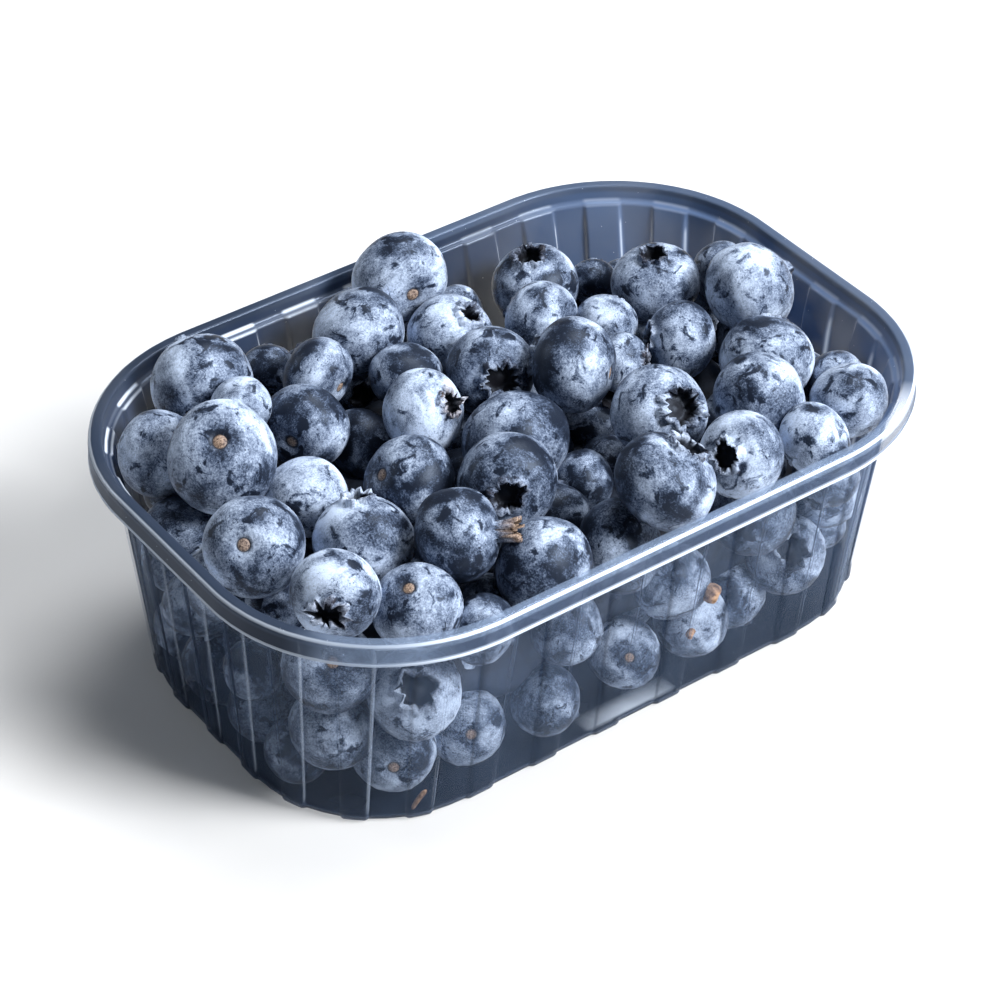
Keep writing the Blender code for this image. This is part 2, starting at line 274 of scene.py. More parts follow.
@dataclass(frozen=True)
class PlasticFinish:
    """Clear PET sheet with a thin bluish haze, under painted light and shade.

    The sheet's outer face lets the berries show through a thin haze. Its inner face, seen by the camera
    from inside the punnet, is a near-opaque dark film: painted shade for the dark surroundings seen
    through the clear wall. Painted highlights run along the rim, the ledge and the ribs, and painted
    shade lies in lines on the ribs and along the base.
    """

    # painted shade: near-black film on the inside of the walls, for the dark surroundings seen through the clear
    # plastic
    tint_and_painted_shade: tuple[float, float, float] = (0.020, 0.031, 0.060)
    # painted light: the inside of the right end is lighter
    right_painted_light: tuple[float, float, float] = (0.066, 0.106, 0.200)
    # painted shade: darker base and foot
    base_painted_shade: tuple[float, float, float] = (0.005, 0.008, 0.015)
    outside_tint: tuple[float, float, float] = (0.10, 0.155, 0.27)
    # rim colours: the front flange is the lit one; the front lip, the back, the right end and the left side of the rim
    # get painted shade
    flange_tint: tuple[float, float, float] = (0.20, 0.27, 0.40)
    lip_painted_shade: tuple[float, float, float] = (0.032, 0.049, 0.090)
    back_flange_painted_shade: tuple[float, float, float] = (0.052, 0.075, 0.125)
    left_flange_painted_shade: tuple[float, float, float] = (0.022, 0.032, 0.055)
    back_lip_painted_shade: tuple[float, float, float] = (0.008, 0.012, 0.024)
    # colour of the painted highlights
    painted_highlight_colour: tuple[float, float, float] = (0.74, 0.83, 0.96)
    # colour of the painted shade lines on the rib flanks
    painted_line_shade: tuple[float, float, float] = (0.010, 0.014, 0.024)
    gloss_tint: tuple[float, float, float] = (0.62, 0.76, 1.0)
    haze_outside: float = 0.13
    # the inner face is near-opaque to the camera, so that its painted shade shows
    haze_inside: float = 0.985
    haze_on_flange: float = 0.40
    haze_on_lip: float = 0.70
    # the back rim is near-opaque to the camera, so that its painted shade shows
    haze_on_back_rim: float = 0.985
    haze_for_light: float = 0.12
    # opacity of the sheet under the painted highlight and painted shade lines
    haze_on_edges: float = 0.85
    front_zone: tuple[float, float] = (0.030, 0.046)
    right_end: tuple[float, float] = (0.050, 0.066)
    left_corner: tuple[float, float] = (-0.058, -0.042)
    # heights over which the painted shade of the base and the foot fades out
    base_zone: tuple[float, float] = (0.004, 0.020)
    foot_zone: tuple[float, float] = (0.0006, 0.0024)
    haze_on_foot: float = 0.93
    left_zone: tuple[float, float] = (-0.010, 0.030)
    # where the painted light of the right end comes in
    right_zone: tuple[float, float] = (0.025, 0.062)
    # where the painted highlight dashes of the ledge lie, and how weak the painted highlights are away from the left
    # ledge and the front rim
    ledge_zone: tuple[float, float] = (0.041, 0.043)
    weak_ledge_highlight: float = 0.14
    weak_rim_highlight: float = 0.40
    roughness: float = 0.45
    sheen: float = 0.10
    gloss_roughness: float = 0.06
    gloss_share: float = 0.22
    index: float = 1.57
    dust_scale: float = 700.0
    dust_size: float = 0.055

    def material(self, name: str, inside: bool, speckle: bpy.types.NodeTree) -> bpy.types.Material:
        """Material of one face of the sheet.

        Args:
            name: the material's name.
            inside: whether it is the face towards the berries.
            speckle: the node group for dust.

        Returns:
            The material.
        """
        material, shading, output = new_material(name)
        place = shading.node("ShaderNodeTexCoord").outputs["Object"]
        # edge carries the painted highlights of the bends, ribs and base, and painted shade lines where it is below 0
        edge = shading.attribute("edge").outputs["Fac"]
        rim = shading.attribute("rim").outputs["Fac"]
        corner = shading.node("ShaderNodeSeparateXYZ", {0: place}).outputs
        front = shading.step(shading.math("MULTIPLY", corner[1], -1.0), *self.front_zone)
        on_rim = shading.step(rim, 0.2, 0.4)
        left = shading.step(shading.math("MULTIPLY", corner[0], -1.0), *self.left_zone)
        on_ledge = shading.step(corner[2], *self.ledge_zone)
        # painted highlight dashes on the ledge, full at the left end and weakened elsewhere
        ledge_shine = shading.mix_number(shading.math("SUBTRACT", on_ledge, left, clamp=True), 1.0, self.weak_ledge_highlight)
        past_corner = shading.step(corner[0], *self.left_corner)
        # painted highlight lines along the front rim, weakened elsewhere
        rim_shine = shading.mix_number(shading.math("MULTIPLY", front, past_corner), self.weak_rim_highlight, 1.0)
        crisp = shading.mix_number(on_rim, edge, shading.step(edge, 0.45, 0.80))
        shine = shading.math("MULTIPLY", crisp, shading.mix_number(on_rim, ledge_shine, rim_shine))
        dust = shading.node("ShaderNodeGroup", node_tree=speckle)
        shading.put(place, dust.inputs["Vector"])
        shading.put(self.dust_scale, dust.inputs["Scale"])
        shading.put(self.dust_size, dust.inputs["Size"])
        cloud = shading.step(shading.noise(place, 45.0, 4.0), 0.30, 0.75)
        # painted highlights along the bends and ribs, and real dust specks, both drawn in the pale highlight colour
        dust_and_painted_highlights = shading.math("MAXIMUM", shine, shading.math("MULTIPLY", dust.outputs["Mask"], 0.5))
        # painted shade lines on one flank of each rib, where edge is below 0
        crack_and_shade_lines = shading.math("MULTIPLY", edge, -1.0, clamp=True)
        # painted shade: darker and less clear along the foot
        above_foot = shading.step(corner[2], *self.foot_zone)
        tint_and_painted_shade = shading.mix(above_foot, self.base_painted_shade, self.outside_tint)
        base = shading.mix_number(above_foot, self.haze_on_foot, self.haze_outside)
        if inside:
            # painted shade on the rim: the front lip darker than the front flange, the back, right end and left side
            # darker still
            on_lip = shading.step(rim, 0.50, 0.62)
            dark_lip = shading.math("MULTIPLY", on_lip, past_corner)
            front_rim_tint_and_painted_shade = shading.mix(dark_lip, self.flange_tint, self.lip_painted_shade)
            front_haze = shading.mix_number(dark_lip, self.haze_on_flange, self.haze_on_lip)
            back_rim_painted_shade = shading.mix(left, self.back_flange_painted_shade, self.left_flange_painted_shade)
            back_rim_painted_shade = shading.mix(on_lip, back_rim_painted_shade, self.back_lip_painted_shade)
            clear_end = shading.math("SUBTRACT", front, shading.step(corner[0], *self.right_end), clamp=True)
            rim_tint_and_painted_shade = shading.mix(clear_end, back_rim_painted_shade, front_rim_tint_and_painted_shade)
            rim_haze = shading.mix_number(clear_end, self.haze_on_back_rim, front_haze)
            # painted light and shade on the wall's inside: lighter towards the right end, darker towards the base
            wall_painted_light_and_shade = shading.mix(shading.step(corner[0], *self.right_zone), self.tint_and_painted_shade, self.right_painted_light)
            wall_painted_light_and_shade = shading.mix(shading.step(corner[2], *self.base_zone), self.base_painted_shade, wall_painted_light_and_shade)
            tint_and_painted_shade = shading.mix(on_rim, wall_painted_light_and_shade, rim_tint_and_painted_shade)
            base = shading.mix_number(on_rim, self.haze_inside, rim_haze)
        # painted shade lines on the rib flanks, in a near-black colour
        tint_and_painted_shade = shading.mix(crack_and_shade_lines, tint_and_painted_shade, self.painted_line_shade)
        film = shading.node(
            "ShaderNodeBsdfPrincipled",
            {
                "Base Color": shading.mix(dust_and_painted_highlights, tint_and_painted_shade, self.painted_highlight_colour),
                "Roughness": self.roughness,
                "Specular IOR Level": self.sheen,
                "Specular Tint": (*self.gloss_tint, 1.0),
            },
        )
        uneven = shading.math("ADD", base, shading.math("MULTIPLY_ADD", cloud, 0.08, -0.04))
        # camera rays that meet the inner face from inside see the near-opaque film of painted shade; other rays pass it
        # at the light haze
        seen = shading.node("ShaderNodeLightPath").outputs["Is Camera Ray"]
        facing = shading.math("SUBTRACT", 1.0, shading.node("ShaderNodeNewGeometry").outputs["Backfacing"])
        if inside:
            seen = shading.math("MULTIPLY", seen, facing)
        haze = shading.mix_number(seen, self.haze_for_light, uneven)
        # the sheet is near-opaque under the painted highlight and painted shade lines
        haze = shading.mix_number(shading.math("MAXIMUM", dust_and_painted_highlights, crack_and_shade_lines), haze, self.haze_on_edges)
        clear = shading.node("ShaderNodeBsdfTransparent")
        sheet = shading.node("ShaderNodeMixShader", {0: haze, 1: clear.outputs[0], 2: film.outputs[0]})
        gloss = shading.node(
            "ShaderNodeBsdfAnisotropic",
            {"Color": self.gloss_tint, "Roughness": self.gloss_roughness},
        )
        mirrored = shading.node("ShaderNodeFresnel", {"IOR": self.index}).outputs[0]
        mirrored = shading.math("MULTIPLY", shading.math("MULTIPLY", mirrored, self.gloss_share), facing)
        whole = shading.node("ShaderNodeMixShader", {0: mirrored, 1: sheet.outputs[0], 2: gloss.outputs[0]})
        shading.put(whole.outputs[0], output.inputs["Surface"])
        return material


@dataclass(frozen=True)
class BerrySkinFinish:
    """Dark blue skin under a pale waxy bloom, rubbed off in patches."""

    skin: tuple[float, float, float] = (0.009, 0.013, 0.024)
    thin_bloom: tuple[float, float, float] = (0.048, 0.070, 0.122)
    full_bloom: tuple[float, float, float] = (0.55, 0.66, 0.85)
    dried: tuple[float, float, float] = (0.070, 0.040, 0.028)
    dried_pale: tuple[float, float, float] = (0.40, 0.29, 0.21)
    # painted shade: near-black in the crown's pit and in the groove round the stalk scar
    pit: tuple[float, float, float] = (0.010, 0.010, 0.013)
    skin_roughness: float = 0.40
    bloom_roughness: float = 0.72
    sheen: float = 0.26
    sheen_tint: tuple[float, float, float, float] = (0.62, 0.76, 1.0, 1.0)
    relief: float = 0.45

    def material(self, speckle: bpy.types.NodeTree) -> bpy.types.Material:
        """Material that reads each berry's own coordinates, so that no two look alike.

        Args:
            speckle: the node group for pores.

        Returns:
            The material.
        """
        material, shading, output = new_material("berry skin")
        own = shading.attribute("berry_place").outputs["Vector"]
        seed = shading.attribute("seed").outputs["Fac"]
        bloom = shading.attribute("bloom").outputs["Fac"]
        shift = shading.node("ShaderNodeCombineXYZ", {0: seed, 1: shading.math("MULTIPLY", seed, 0.37)})
        place = shading.node("ShaderNodeVectorMath", {0: own, 1: shift.outputs[0]}, operation="ADD").outputs[0]

        broad = shading.noise(place, 1.1, 2.0, Distortion=0.5)
        patches = shading.noise(place, 2.3, 4.0, Roughness=0.58, Distortion=0.8)
        mottle = shading.noise(place, 6.0, 4.0, Roughness=0.55, Distortion=0.2)
        grain = shading.noise(place, 24.0, 4.0, Roughness=0.85)
        streaked = shading.node(
            "ShaderNodeMapping",
            {"Vector": place, "Rotation": (0.5, 0.7, 0.3), "Scale": (2.0, 17.0, 7.0)},
        )
        streaks = shading.noise(streaked.outputs[0], 1.3, 3.0, Distortion=0.6)
        crack_and_shade_lines = shading.math("ABSOLUTE", shading.math("SUBTRACT", shading.noise(place, 3.1, 4.0, Distortion=1.6), 0.5))
        cracked = shading.math("SUBTRACT", 1.0, shading.step(crack_and_shade_lines, 0.001, 0.011))
        cracked = shading.math("MULTIPLY", cracked, shading.step(shading.noise(place, 1.9, 2.0), 0.54, 0.64))

        level = shading.math("MULTIPLY_ADD", bloom, 0.62, -0.03)
        level = shading.math("MULTIPLY_ADD", shading.math("SUBTRACT", broad, 0.5), 1.6, level)
        level = shading.math("MULTIPLY_ADD", shading.math("SUBTRACT", mottle, 0.5), 0.45, level)
        level = shading.math("MULTIPLY_ADD", shading.math("SUBTRACT", grain, 0.5), 1.0, level)
        level = shading.math("MULTIPLY_ADD", shading.math("SUBTRACT", streaks, 0.5), 0.22, level)
        level = shading.math("MULTIPLY_ADD", shading.step(patches, 0.54, 0.68), -0.42, level)
        level = shading.math("MULTIPLY_ADD", cracked, -0.42, level)
        pores = shading.node("ShaderNodeGroup", node_tree=speckle)
        shading.put(place, pores.inputs["Vector"])
        shading.put(11.0, pores.inputs["Scale"])
        shading.put(0.17, pores.inputs["Size"])
        level = shading.math("MULTIPLY_ADD", pores.outputs["Mask"], -0.25, level, clamp=True)

        colour = shading.mix(shading.step(level, 0.0, 0.30), self.skin, self.thin_bloom)
        colour = shading.mix(shading.step(level, 0.12, 0.90), colour, self.full_bloom)
        dry = shading.attribute("dried").outputs["Fac"]
        dry_colour = shading.mix(shading.step(grain, 0.38, 0.62), self.dried, self.dried_pale)
        # painted shade of the pit
        colour = shading.mix(shading.attribute("pit").outputs["Fac"], colour, self.pit)
        colour = shading.mix(dry, colour, dry_colour)
        rough = shading.mix_number(level, self.skin_roughness, self.bloom_roughness)
        height = shading.math("MULTIPLY_ADD", grain, 0.5, shading.math("MULTIPLY", mottle, 0.8))
        bump = shading.node("ShaderNodeBump", {"Strength": self.relief, "Distance": 0.12 * MM, "Height": height})
        skin = shading.node(
            "ShaderNodeBsdfPrincipled",
            {
                "Base Color": colour,
                "Roughness": rough,
                "Specular IOR Level": self.sheen,
                "Specular Tint": self.sheen_tint,
                "Normal": bump.outputs[0],
            },
        )
        shading.put(skin.outputs[0], output.inputs["Surface"])
        return material


@dataclass(frozen=True)
class RoughFinish:
    """Dull surface of two mixed colours, for stalks, the core and the floor."""

    name: str
    dark: tuple[float, float, float]
    pale: tuple[float, float, float]
    scale: float
    roughness: float
    relief: float

    def material(self) -> bpy.types.Material:
        """The finish as a material.

        Returns:
            The material.
        """
        material, shading, output = new_material(self.name)
        place = shading.node("ShaderNodeTexCoord").outputs["Object"]
        mottle = shading.noise(place, self.scale, 5.0, Roughness=0.65)
        bump = shading.node(
            "ShaderNodeBump",
            {"Strength": self.relief, "Distance": 0.2 * MM, "Height": mottle},
        )
        body = shading.node(
            "ShaderNodeBsdfPrincipled",
            {
                "Base Color": shading.mix(shading.step(mottle, 0.35, 0.65), self.dark, self.pale),
                "Roughness": self.roughness,
                "Normal": bump.outputs[0],
            },
        )
        shading.put(body.outputs[0], output.inputs["Surface"])
        return material


# --------------------------------------------------------------------------------------------------
# Mesh helpers
# --------------------------------------------------------------------------------------------------


def add_object(name: str, mesh: bpy.types.Mesh, *materials: bpy.types.Material) -> bpy.types.Object:
    """Object at the origin, linked to the scene.

    Args:
        name: the object's name.
        mesh: its mesh.
        materials: the materials for its slots, in order.

    Returns:
        The object.
    """
    item = bpy.data.objects.new(name, mesh)
    for material in materials:
        mesh.materials.append(material)
    bpy.context.scene.collection.objects.link(item)
    return item


def make_plain(item: bpy.types.Object) -> bpy.types.Object:
    """Turn the result of an object's modifiers into its own mesh.

    Args:
        item: the object.

    Returns:
        The same object, with no modifiers left.
    """
    graph = bpy.context.evaluated_depsgraph_get()
    result = bpy.data.meshes.new_from_object(
        item.evaluated_get(graph), preserve_all_data_layers=True, depsgraph=graph
    )
    result.name = item.name
    item.modifiers.clear()
    item.data = result
    return item


def loft(rings: list[np.ndarray], close_first: bool, close_last: bool) -> bmesh.types.BMesh:
    """Skin through closed rings of points, each ring with as many points as the next.

    Args:
        rings: the rings in metres, from first to last.
        close_first: put a face over the first ring.
        close_last: put a face over the last ring.

    Returns:
        The shape, with its vertices in the order of the rings.
    """
    shape = bmesh.new()
    loops = [[shape.verts.new(point) for point in ring] for ring in rings]
    for lower, upper in zip(loops, loops[1:]):
        for index, corner in enumerate(lower):
            after = (index + 1) % len(lower)
            shape.faces.new((corner, upper[index], upper[after], lower[after]))
    if close_first:
        shape.faces.new(loops[0])
    if close_last:
        shape.faces.new(loops[-1][::-1])
    return shape


def store(mesh: bpy.types.Mesh, name: str, values: np.ndarray) -> None:
    """Keep a number or a vector for each vertex.

    Args:
        mesh: the mesh.
        name: the attribute's name.
        values: one number, or one row of three, for each vertex.
    """
    if values.ndim == 2:
        layer = mesh.attributes.new(name, "FLOAT_VECTOR", "POINT")
        layer.data.foreach_set("vector", values.astype(np.float32).ravel())
    elif values.dtype.kind == "i":
        layer = mesh.attributes.new(name, "INT", "POINT")
        layer.data.foreach_set("value", values.astype(np.int32))
    else:
        layer = mesh.attributes.new(name, "FLOAT", "POINT")
        layer.data.foreach_set("value", values.astype(np.float32))


# --------------------------------------------------------------------------------------------------
# Punnet
# --------------------------------------------------------------------------------------------------


@dataclass(frozen=True)
class Outline:
    """Rounded rectangle that the punnet follows at one height, in millimetres."""

    half_length: float
    half_width: float
    corner: float

    def inset(self, distance: float) -> "Outline":
        """Outline that lies the given distance inside this one."""
        return Outline(self.half_length - distance, self.half_width - distance, self.corner - distance)

    def blend(self, other: "Outline", share: float) -> "Outline":
        """Outline part of the way from this one to the other.

        Args:
            other: the other outline.
            share: how far towards it, from 0 to 1.

        Returns:
            The outline between them.
        """
        return Outline(
            self.half_length + (other.half_length - self.half_length) * share,
            self.half_width + (other.half_width - self.half_width) * share,
            self.corner + (other.corner - self.corner) * share,
        )

    def pieces(self) -> tuple[float, ...]:
        """Lengths of its straight and round runs, from the middle of the front side round to it."""
        front = self.half_length - self.corner
        side = 2 * (self.half_width - self.corner)
        arc = self.corner * math.pi / 2
        return (front, arc, side, arc, 2 * front, arc, side, arc, front)

    def perimeter(self) -> float:
        """Distance once round the outline."""
        return sum(self.pieces())

    def locate(self, travel: float) -> tuple[int, float]:
        """Run, and share of it, that lies at a distance round the outline.

        Args:
            travel: the distance from the middle of the front side.

        Returns:
            The run's number and the share of it.
        """
        travel %= self.perimeter()
        for run, length in enumerate(self.pieces()):
            if travel <= length:
                return run, travel / length
            travel -= length
        return 0, 0.0

    def point(self, run: int, share: float) -> tuple[np.ndarray, np.ndarray]:
        """Point on one run of the outline.

        Args:
            run: the run's number.
            share: how far along it.

        Returns:
            The point and the outward direction there, both flat.
        """
        reach = np.array((self.half_length - self.corner, self.half_width - self.corner))
        if run % 2 == 1:
            quarter = run // 2
            sign = np.array((1 if quarter in (0, 1) else -1, 1 if quarter in (1, 2) else -1))
            angle = math.radians(90 * (quarter - 1 + share))
            out = np.array((math.cos(angle), math.sin(angle)))
            return reach * sign + self.corner * out, out
        if run in (0, 8):
            out = np.array((0.0, -1.0))
            along = reach[0] * (share if run == 0 else share - 1)
            return np.array((along, -self.half_width)), out
        sway = 2 * share - 1
        if run in (2, 6):
            out = np.array((1.0 if run == 2 else -1.0, 0.0))
            return np.array((self.half_length, reach[1] * sway)) * out[0], out
        return np.array((-reach[0] * sway, self.half_width)), np.array((0.0, 1.0))

    def room(self, x: float, y: float) -> tuple[float, np.ndarray]:
        """How far inside the outline a spot lies.

        Args:
            x: along the long side.
            y: across it.

        Returns:
            The distance to the outline, below 0 outside it, and the outward direction.
        """
        across = np.array((abs(x) - self.half_length + self.corner, abs(y) - self.half_width + self.corner))
        sign = np.array((math.copysign(1, x), math.copysign(1, y)))
        if across.min() > 0:
            away = float(np.hypot(*across))
            return self.corner - away, sign * across / away
        nearest = int(np.argmax(across))
        out = np.zeros(2)
        out[nearest] = sign[nearest]
        return self.corner - float(across[nearest]), out


@dataclass(frozen=True)
class Bend:
    """Line of the shell's section that runs round the punnet, where the sheet bends."""

    outline: Outline
    height: float
    rib_depth: float = 0.0
    radius: float = 0.0
    # painted highlight laid along the bend, on the ribs and between them
    shine_on_ribs: float = 0.0
    shine_between: float = 0.0
    on_rim: float = 0.0


@dataclass
class PunnetShell:
    """Thermoformed shell with ribs, a stacking ledge and a turned-down rim, in millimetres."""

    rim: Outline = Outline(71.5, 50.0, 35.0)
    rim_height: float = 48.6
    lip_drop: float = 4.2
    lip_lean: float = 0.1
    lip_flare: float = 0.15
    lip_edge: float = 0.75
    flange_width: float = 2.6
    rim_round: float = 1.0
    collar_drop: float = 2.8
    collar_slant: float = 0.5
    ledge_width: float = 1.0
    ledge_drop: float = 0.4
    foot: Outline = Outline(64.4, 39.5, 27.0)
    foot_round: float = 1.3
    base_band: float = 4.0
    base_lift: float = 0.05
    base_clear: float = 0.05
    rib_count: int = 30
    rib_depth_top: float = 1.2
    rib_depth_base: float = 0.6
    rib_fade: float = 0.75
    rib_fade_height: float = 5.0
    rib_width_top: float = 5.6
    rib_width_base: float = 4.0
    rib_flank: float = 0.9
    rib_soft: float = 0.45
    # painted highlight on one flank of each rib, painted shade on the other
    flank_shine: float = 0.42
    flank_painted_shade: float = 0.35
    wall: float = 0.45
    wall_rings: int = 14
    bend_steps: int = 4
    # stretch of the base along the front that gets a painted glint, and its strength
    glint_span: tuple[float, float] = (0.0, 10.0)
    glint_strength: float = 0.85
    warp: float = 0.12
    warp_size: float = 24.0

    @property
    def wall_top(self) -> Outline:
        """Outside of the ribs under the ledge."""
        return self.rim.inset(self.flange_width + self.collar_slant + self.ledge_width - self.wall)

    @property
    def wall_top_height(self) -> float:
        """Height of the wall's upper end."""
        return self.rim_height - self.collar_drop - self.ledge_drop

    def up_wall(self, height: float) -> float:
        """How far up the wall a height lies, from 0 at the foot to 1 under the ledge."""
        return min(max(height / self.wall_top_height, 0.0), 1.0)

    def outline_at(self, height: float) -> Outline:
        """Outside of the ribs at one height."""
        return self.foot.blend(self.wall_top, self.up_wall(height))

    def rib_depth(self, height: float) -> float:
        """How far the ribs stand out of the wall at one height."""
        depth = self.rib_depth_base + (self.rib_depth_top - self.rib_depth_base) * self.up_wall(height)
        near_top = (height - self.wall_top_height + self.rib_fade_height) / self.rib_fade_height
        return depth * (1 - self.rib_fade * min(max(near_top, 0.0), 1.0))

    def inner_outline(self, height: float) -> Outline:
        """Face between the ribs that the berries lean on at one height."""
        return self.outline_at(height).inset(self.rib_depth(height) + self.wall)

    def stations(self, height: float) -> list[tuple[float, float]]:
        """Places across one rib and the panel after it where the wall's section has points.

        Args:
            height: the height of the section.

        Returns:
            For each, its distance from the rib's middle, and 1 on the rib down to 0 on the panel.
        """
        pitch = self.wall_top.perimeter() / self.rib_count
        half = (self.rib_width_base + (self.rib_width_top - self.rib_width_base) * self.up_wall(height)) / 2
        flank = [(half + self.rib_flank * share, 1 - share * share * (3 - 2 * share))
                 for share in (0.0, 0.2, 0.5, 0.8, 1.0)]
        edge = [(half - self.rib_soft, 1.0), *flank, (half + self.rib_flank + self.rib_soft, 0.0)]
        left = [(-offset, raised) for offset, raised in reversed(edge)]
        return [*left, (0.0, 1.0), *edge, (pitch / 2, 0.0)]

    def ring(self, bend: Bend) -> tuple[np.ndarray, np.ndarray]:
        """Closed ring of points along a bend.

        Args:
            bend: the bend that it follows.

        Returns:
            The points in millimetres, and for each how far it is raised on a rib.
        """
        pitch = self.wall_top.perimeter() / self.rib_count
        points = []
        heights = []
        for rib in range(self.rib_count):
            for offset, raised in self.stations(bend.height):
                run, share = self.wall_top.locate((rib + 0.5) * pitch + offset)
                spot, out = bend.outline.point(run, share)
                spot = spot - out * bend.rib_depth * (1 - raised)
                points.append((*spot, bend.height))
                heights.append(raised)
        return np.array(points), np.array(heights)

    def bends(self) -> list[Bend]:
        """Section of the upper face, from the floor over the rim to the lip's edge."""
        floor_edge = self.foot.inset(self.wall + self.foot_round + self.rib_depth_base)
        # the shine values of these bends are painted highlights
        bends = [
            Bend(floor_edge.inset(self.base_band), self.wall + self.base_clear),
            Bend(floor_edge, self.wall + self.base_clear + self.base_lift),
            Bend(self.foot.inset(self.wall), self.wall + self.base_clear + self.base_lift,
                 self.rib_depth_base, self.foot_round, 0.04, 0.0),
        ]
        for step in range(1, self.wall_rings):
            height = self.wall_top_height * step / self.wall_rings
            bends.append(Bend(self.outline_at(height).inset(self.wall), height, self.rib_depth(height)))
        collar_foot = self.rim.inset(self.flange_width + self.collar_slant)
        lip_edge = self.rim_height - self.lip_drop
        lip_bend = self.rim.inset(self.lip_flare)
        return bends + [
            Bend(self.wall_top.inset(self.wall), self.wall_top_height, self.rib_depth(self.wall_top_height),
                 0.45, 0.10, 0.55),
            Bend(collar_foot, self.rim_height - self.collar_drop, 0.0, 0.55, 0.05, 1.0),
            Bend(self.rim.inset(self.flange_width), self.rim_height, 0.0, 0.45, 0.5, 0.5, 0.5),
            Bend(lip_bend.inset(self.lip_lean), self.rim_height, 0.0, self.rim_round, 1.0, 1.0, 0.5),
            Bend(lip_bend, lip_edge + self.lip_edge, 0.0, 0.0, 0.0, 0.0, 1.0),
            Bend(self.rim.inset(self.lip_flare / 2), lip_edge + self.lip_edge * 0.6, 0.0, 0.0, 0.9, 0.9, 1.0),
            Bend(self.rim, lip_edge, 0.0, 0.0, 0.9, 0.9, 1.0),
        ]

    def rounded(self) -> tuple[list[np.ndarray], list[np.ndarray], list[float]]:
        """Rings through the bends, with each bend rounded off.

        Returns:
            The rings in millimetres, the painted highlight at each of their points, with painted shade
            lines below 0, and for each ring 0 on the wall, 0.5 on the flange and 1 on the lip.
        """
        bends = self.bends()
        rings = [self.ring(bend) for bend in bends]
        points = [rings[0][0]]
        shines = [np.zeros(len(points[0]))]
        on_rim = [0.0]
        for index in range(1, len(bends) - 1):
            bend = bends[index]
            corner, raised = rings[index]
            shine = bend.shine_between + (bend.shine_on_ribs - bend.shine_between) * raised
            # painted glint on the base
            if index == 1:
                shine = self.glint(corner)
            if bend.radius == 0:
                points.append(corner)
                # painted highlight on one flank of each rib and painted shade on the other
                flank = (4 * raised * (1 - raised)) ** 3
                rising = np.roll(raised, -1) > np.roll(raised, 1)
                lines = flank * np.where(rising, -self.flank_painted_shade, self.flank_shine)
                shines.append(lines if bend.rib_depth else shine)
                on_rim.append(bend.on_rim)
                continue
            ends = []
            for other in (rings[index - 1][0], rings[index + 1][0]):
                reach = other - corner
                length = np.linalg.norm(reach, axis=1, keepdims=True)
                ends.append(corner + reach * np.minimum(bend.radius / length, 0.5))
            for step in range(self.bend_steps + 1):
                share = step / self.bend_steps
                points.append(
                    (1 - share) ** 2 * ends[0] + 2 * share * (1 - share) * corner + share**2 * ends[1]
                )
                # painted highlight that peaks in the middle of the rounding
                shines.append(shine * (4 * share * (1 - share)) ** 2.0)
                on_rim.append(bend.on_rim)
        points.append(rings[-1][0])
        shines.append(np.full(len(points[-1]), bends[-1].shine_on_ribs))
        return points, shines, [*on_rim, 1.0]

    def glint(self, points: np.ndarray) -> np.ndarray:
        """Painted glint on a stretch of the base along the front.

        Args:
            points: one ring of the base, in millimetres.

        Returns:
            The shine at each point.
        """
        middle, half = self.glint_span
        near = 1 - np.abs(points[:, 0] - middle) / half
        return self.glint_strength * np.sqrt(np.clip(near, 0, 1)) * (points[:, 1] < 0)

    def warped(self, points: np.ndarray) -> np.ndarray:
        """Wall that waves a little, as thin sheet does, and stays true at its ends.

        Args:
            points: one ring, in millimetres.

        Returns:
            The ring with each point moved in or out.
        """
        share = points[:, 2] / self.wall_top_height
        hold = np.clip(4 * share * (1 - share), 0, 1)
        moved = points.copy()
        for index, point in enumerate(points):
            wave = noise.noise(Vector(point) / self.warp_size) - 0.5
            flat = point[:2] / np.linalg.norm(point[:2])
            moved[index, :2] += flat * wave * self.warp * hold[index]
        return moved

    def build(self, finish: PlasticFinish, speckle: bpy.types.NodeTree) -> bpy.types.Object:
        """Make the shell, with one material on each face of the sheet.

        Args:
            finish: the plastic.
            speckle: the node group for dust.

        Returns:
            The shell.
        """
        points, shines, on_rim = self.rounded()
        shape = loft([self.warped(ring) * MM for ring in points], True, False)
        mesh = bpy.data.meshes.new("punnet_shell")
        shape.to_mesh(mesh)
        shape.free()
        # painted highlights, and painted shade lines where below 0, for the plastic's material
        store(mesh, "edge", np.concatenate(shines))
        store(mesh, "rim", np.repeat(np.array(on_rim, float), len(points[0])))
        mesh.shade_smooth()
        inside = finish.material("clear plastic, inner face", True, speckle)
        outside = finish.material("clear plastic, outer face", False, speckle)
        shell = add_object("punnet_shell", mesh, inside, outside)
        sheet = shell.modifiers.new("Sheet", "SOLIDIFY")
        sheet.thickness = self.wall * MM
        sheet.offset = -1.0
        sheet.use_even_offset = True
        sheet.material_offset = 1
        sheet.material_offset_rim = 1
        make_plain(shell)
        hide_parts("punnet")
        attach(shell, "root")
        return shell


# --------------------------------------------------------------------------------------------------
# Berries
# --------------------------------------------------------------------------------------------------


class Form(Enum):
    """Shapes of berry, told apart by the end that was the flower."""

    STAR = 0
    WIDE = 1
    NARROW = 2
    TORN = 3
    TUFT = 4
    SEPALS = 5
    SMOOTH = 6


class Mark(Enum):
    """End of a berry that shows from the front."""

    NONE = "none"
    ANY = "whichever way it fell"
    STALK = "stalk end"
    CROWN = "crown"


@dataclass(frozen=True)
class CrownRing:
    """One ring of a crown: share of the crown's radius, height over the berry's own curve, how much
    its flaps push it out and up, how much painted shade of the pit it gets, and how far it is dried.
    """

    reach: float
    height: float
    star: float = 0.0
    lift: float = 0.0
    pit: float = 0.0
    dried: float = 0.0


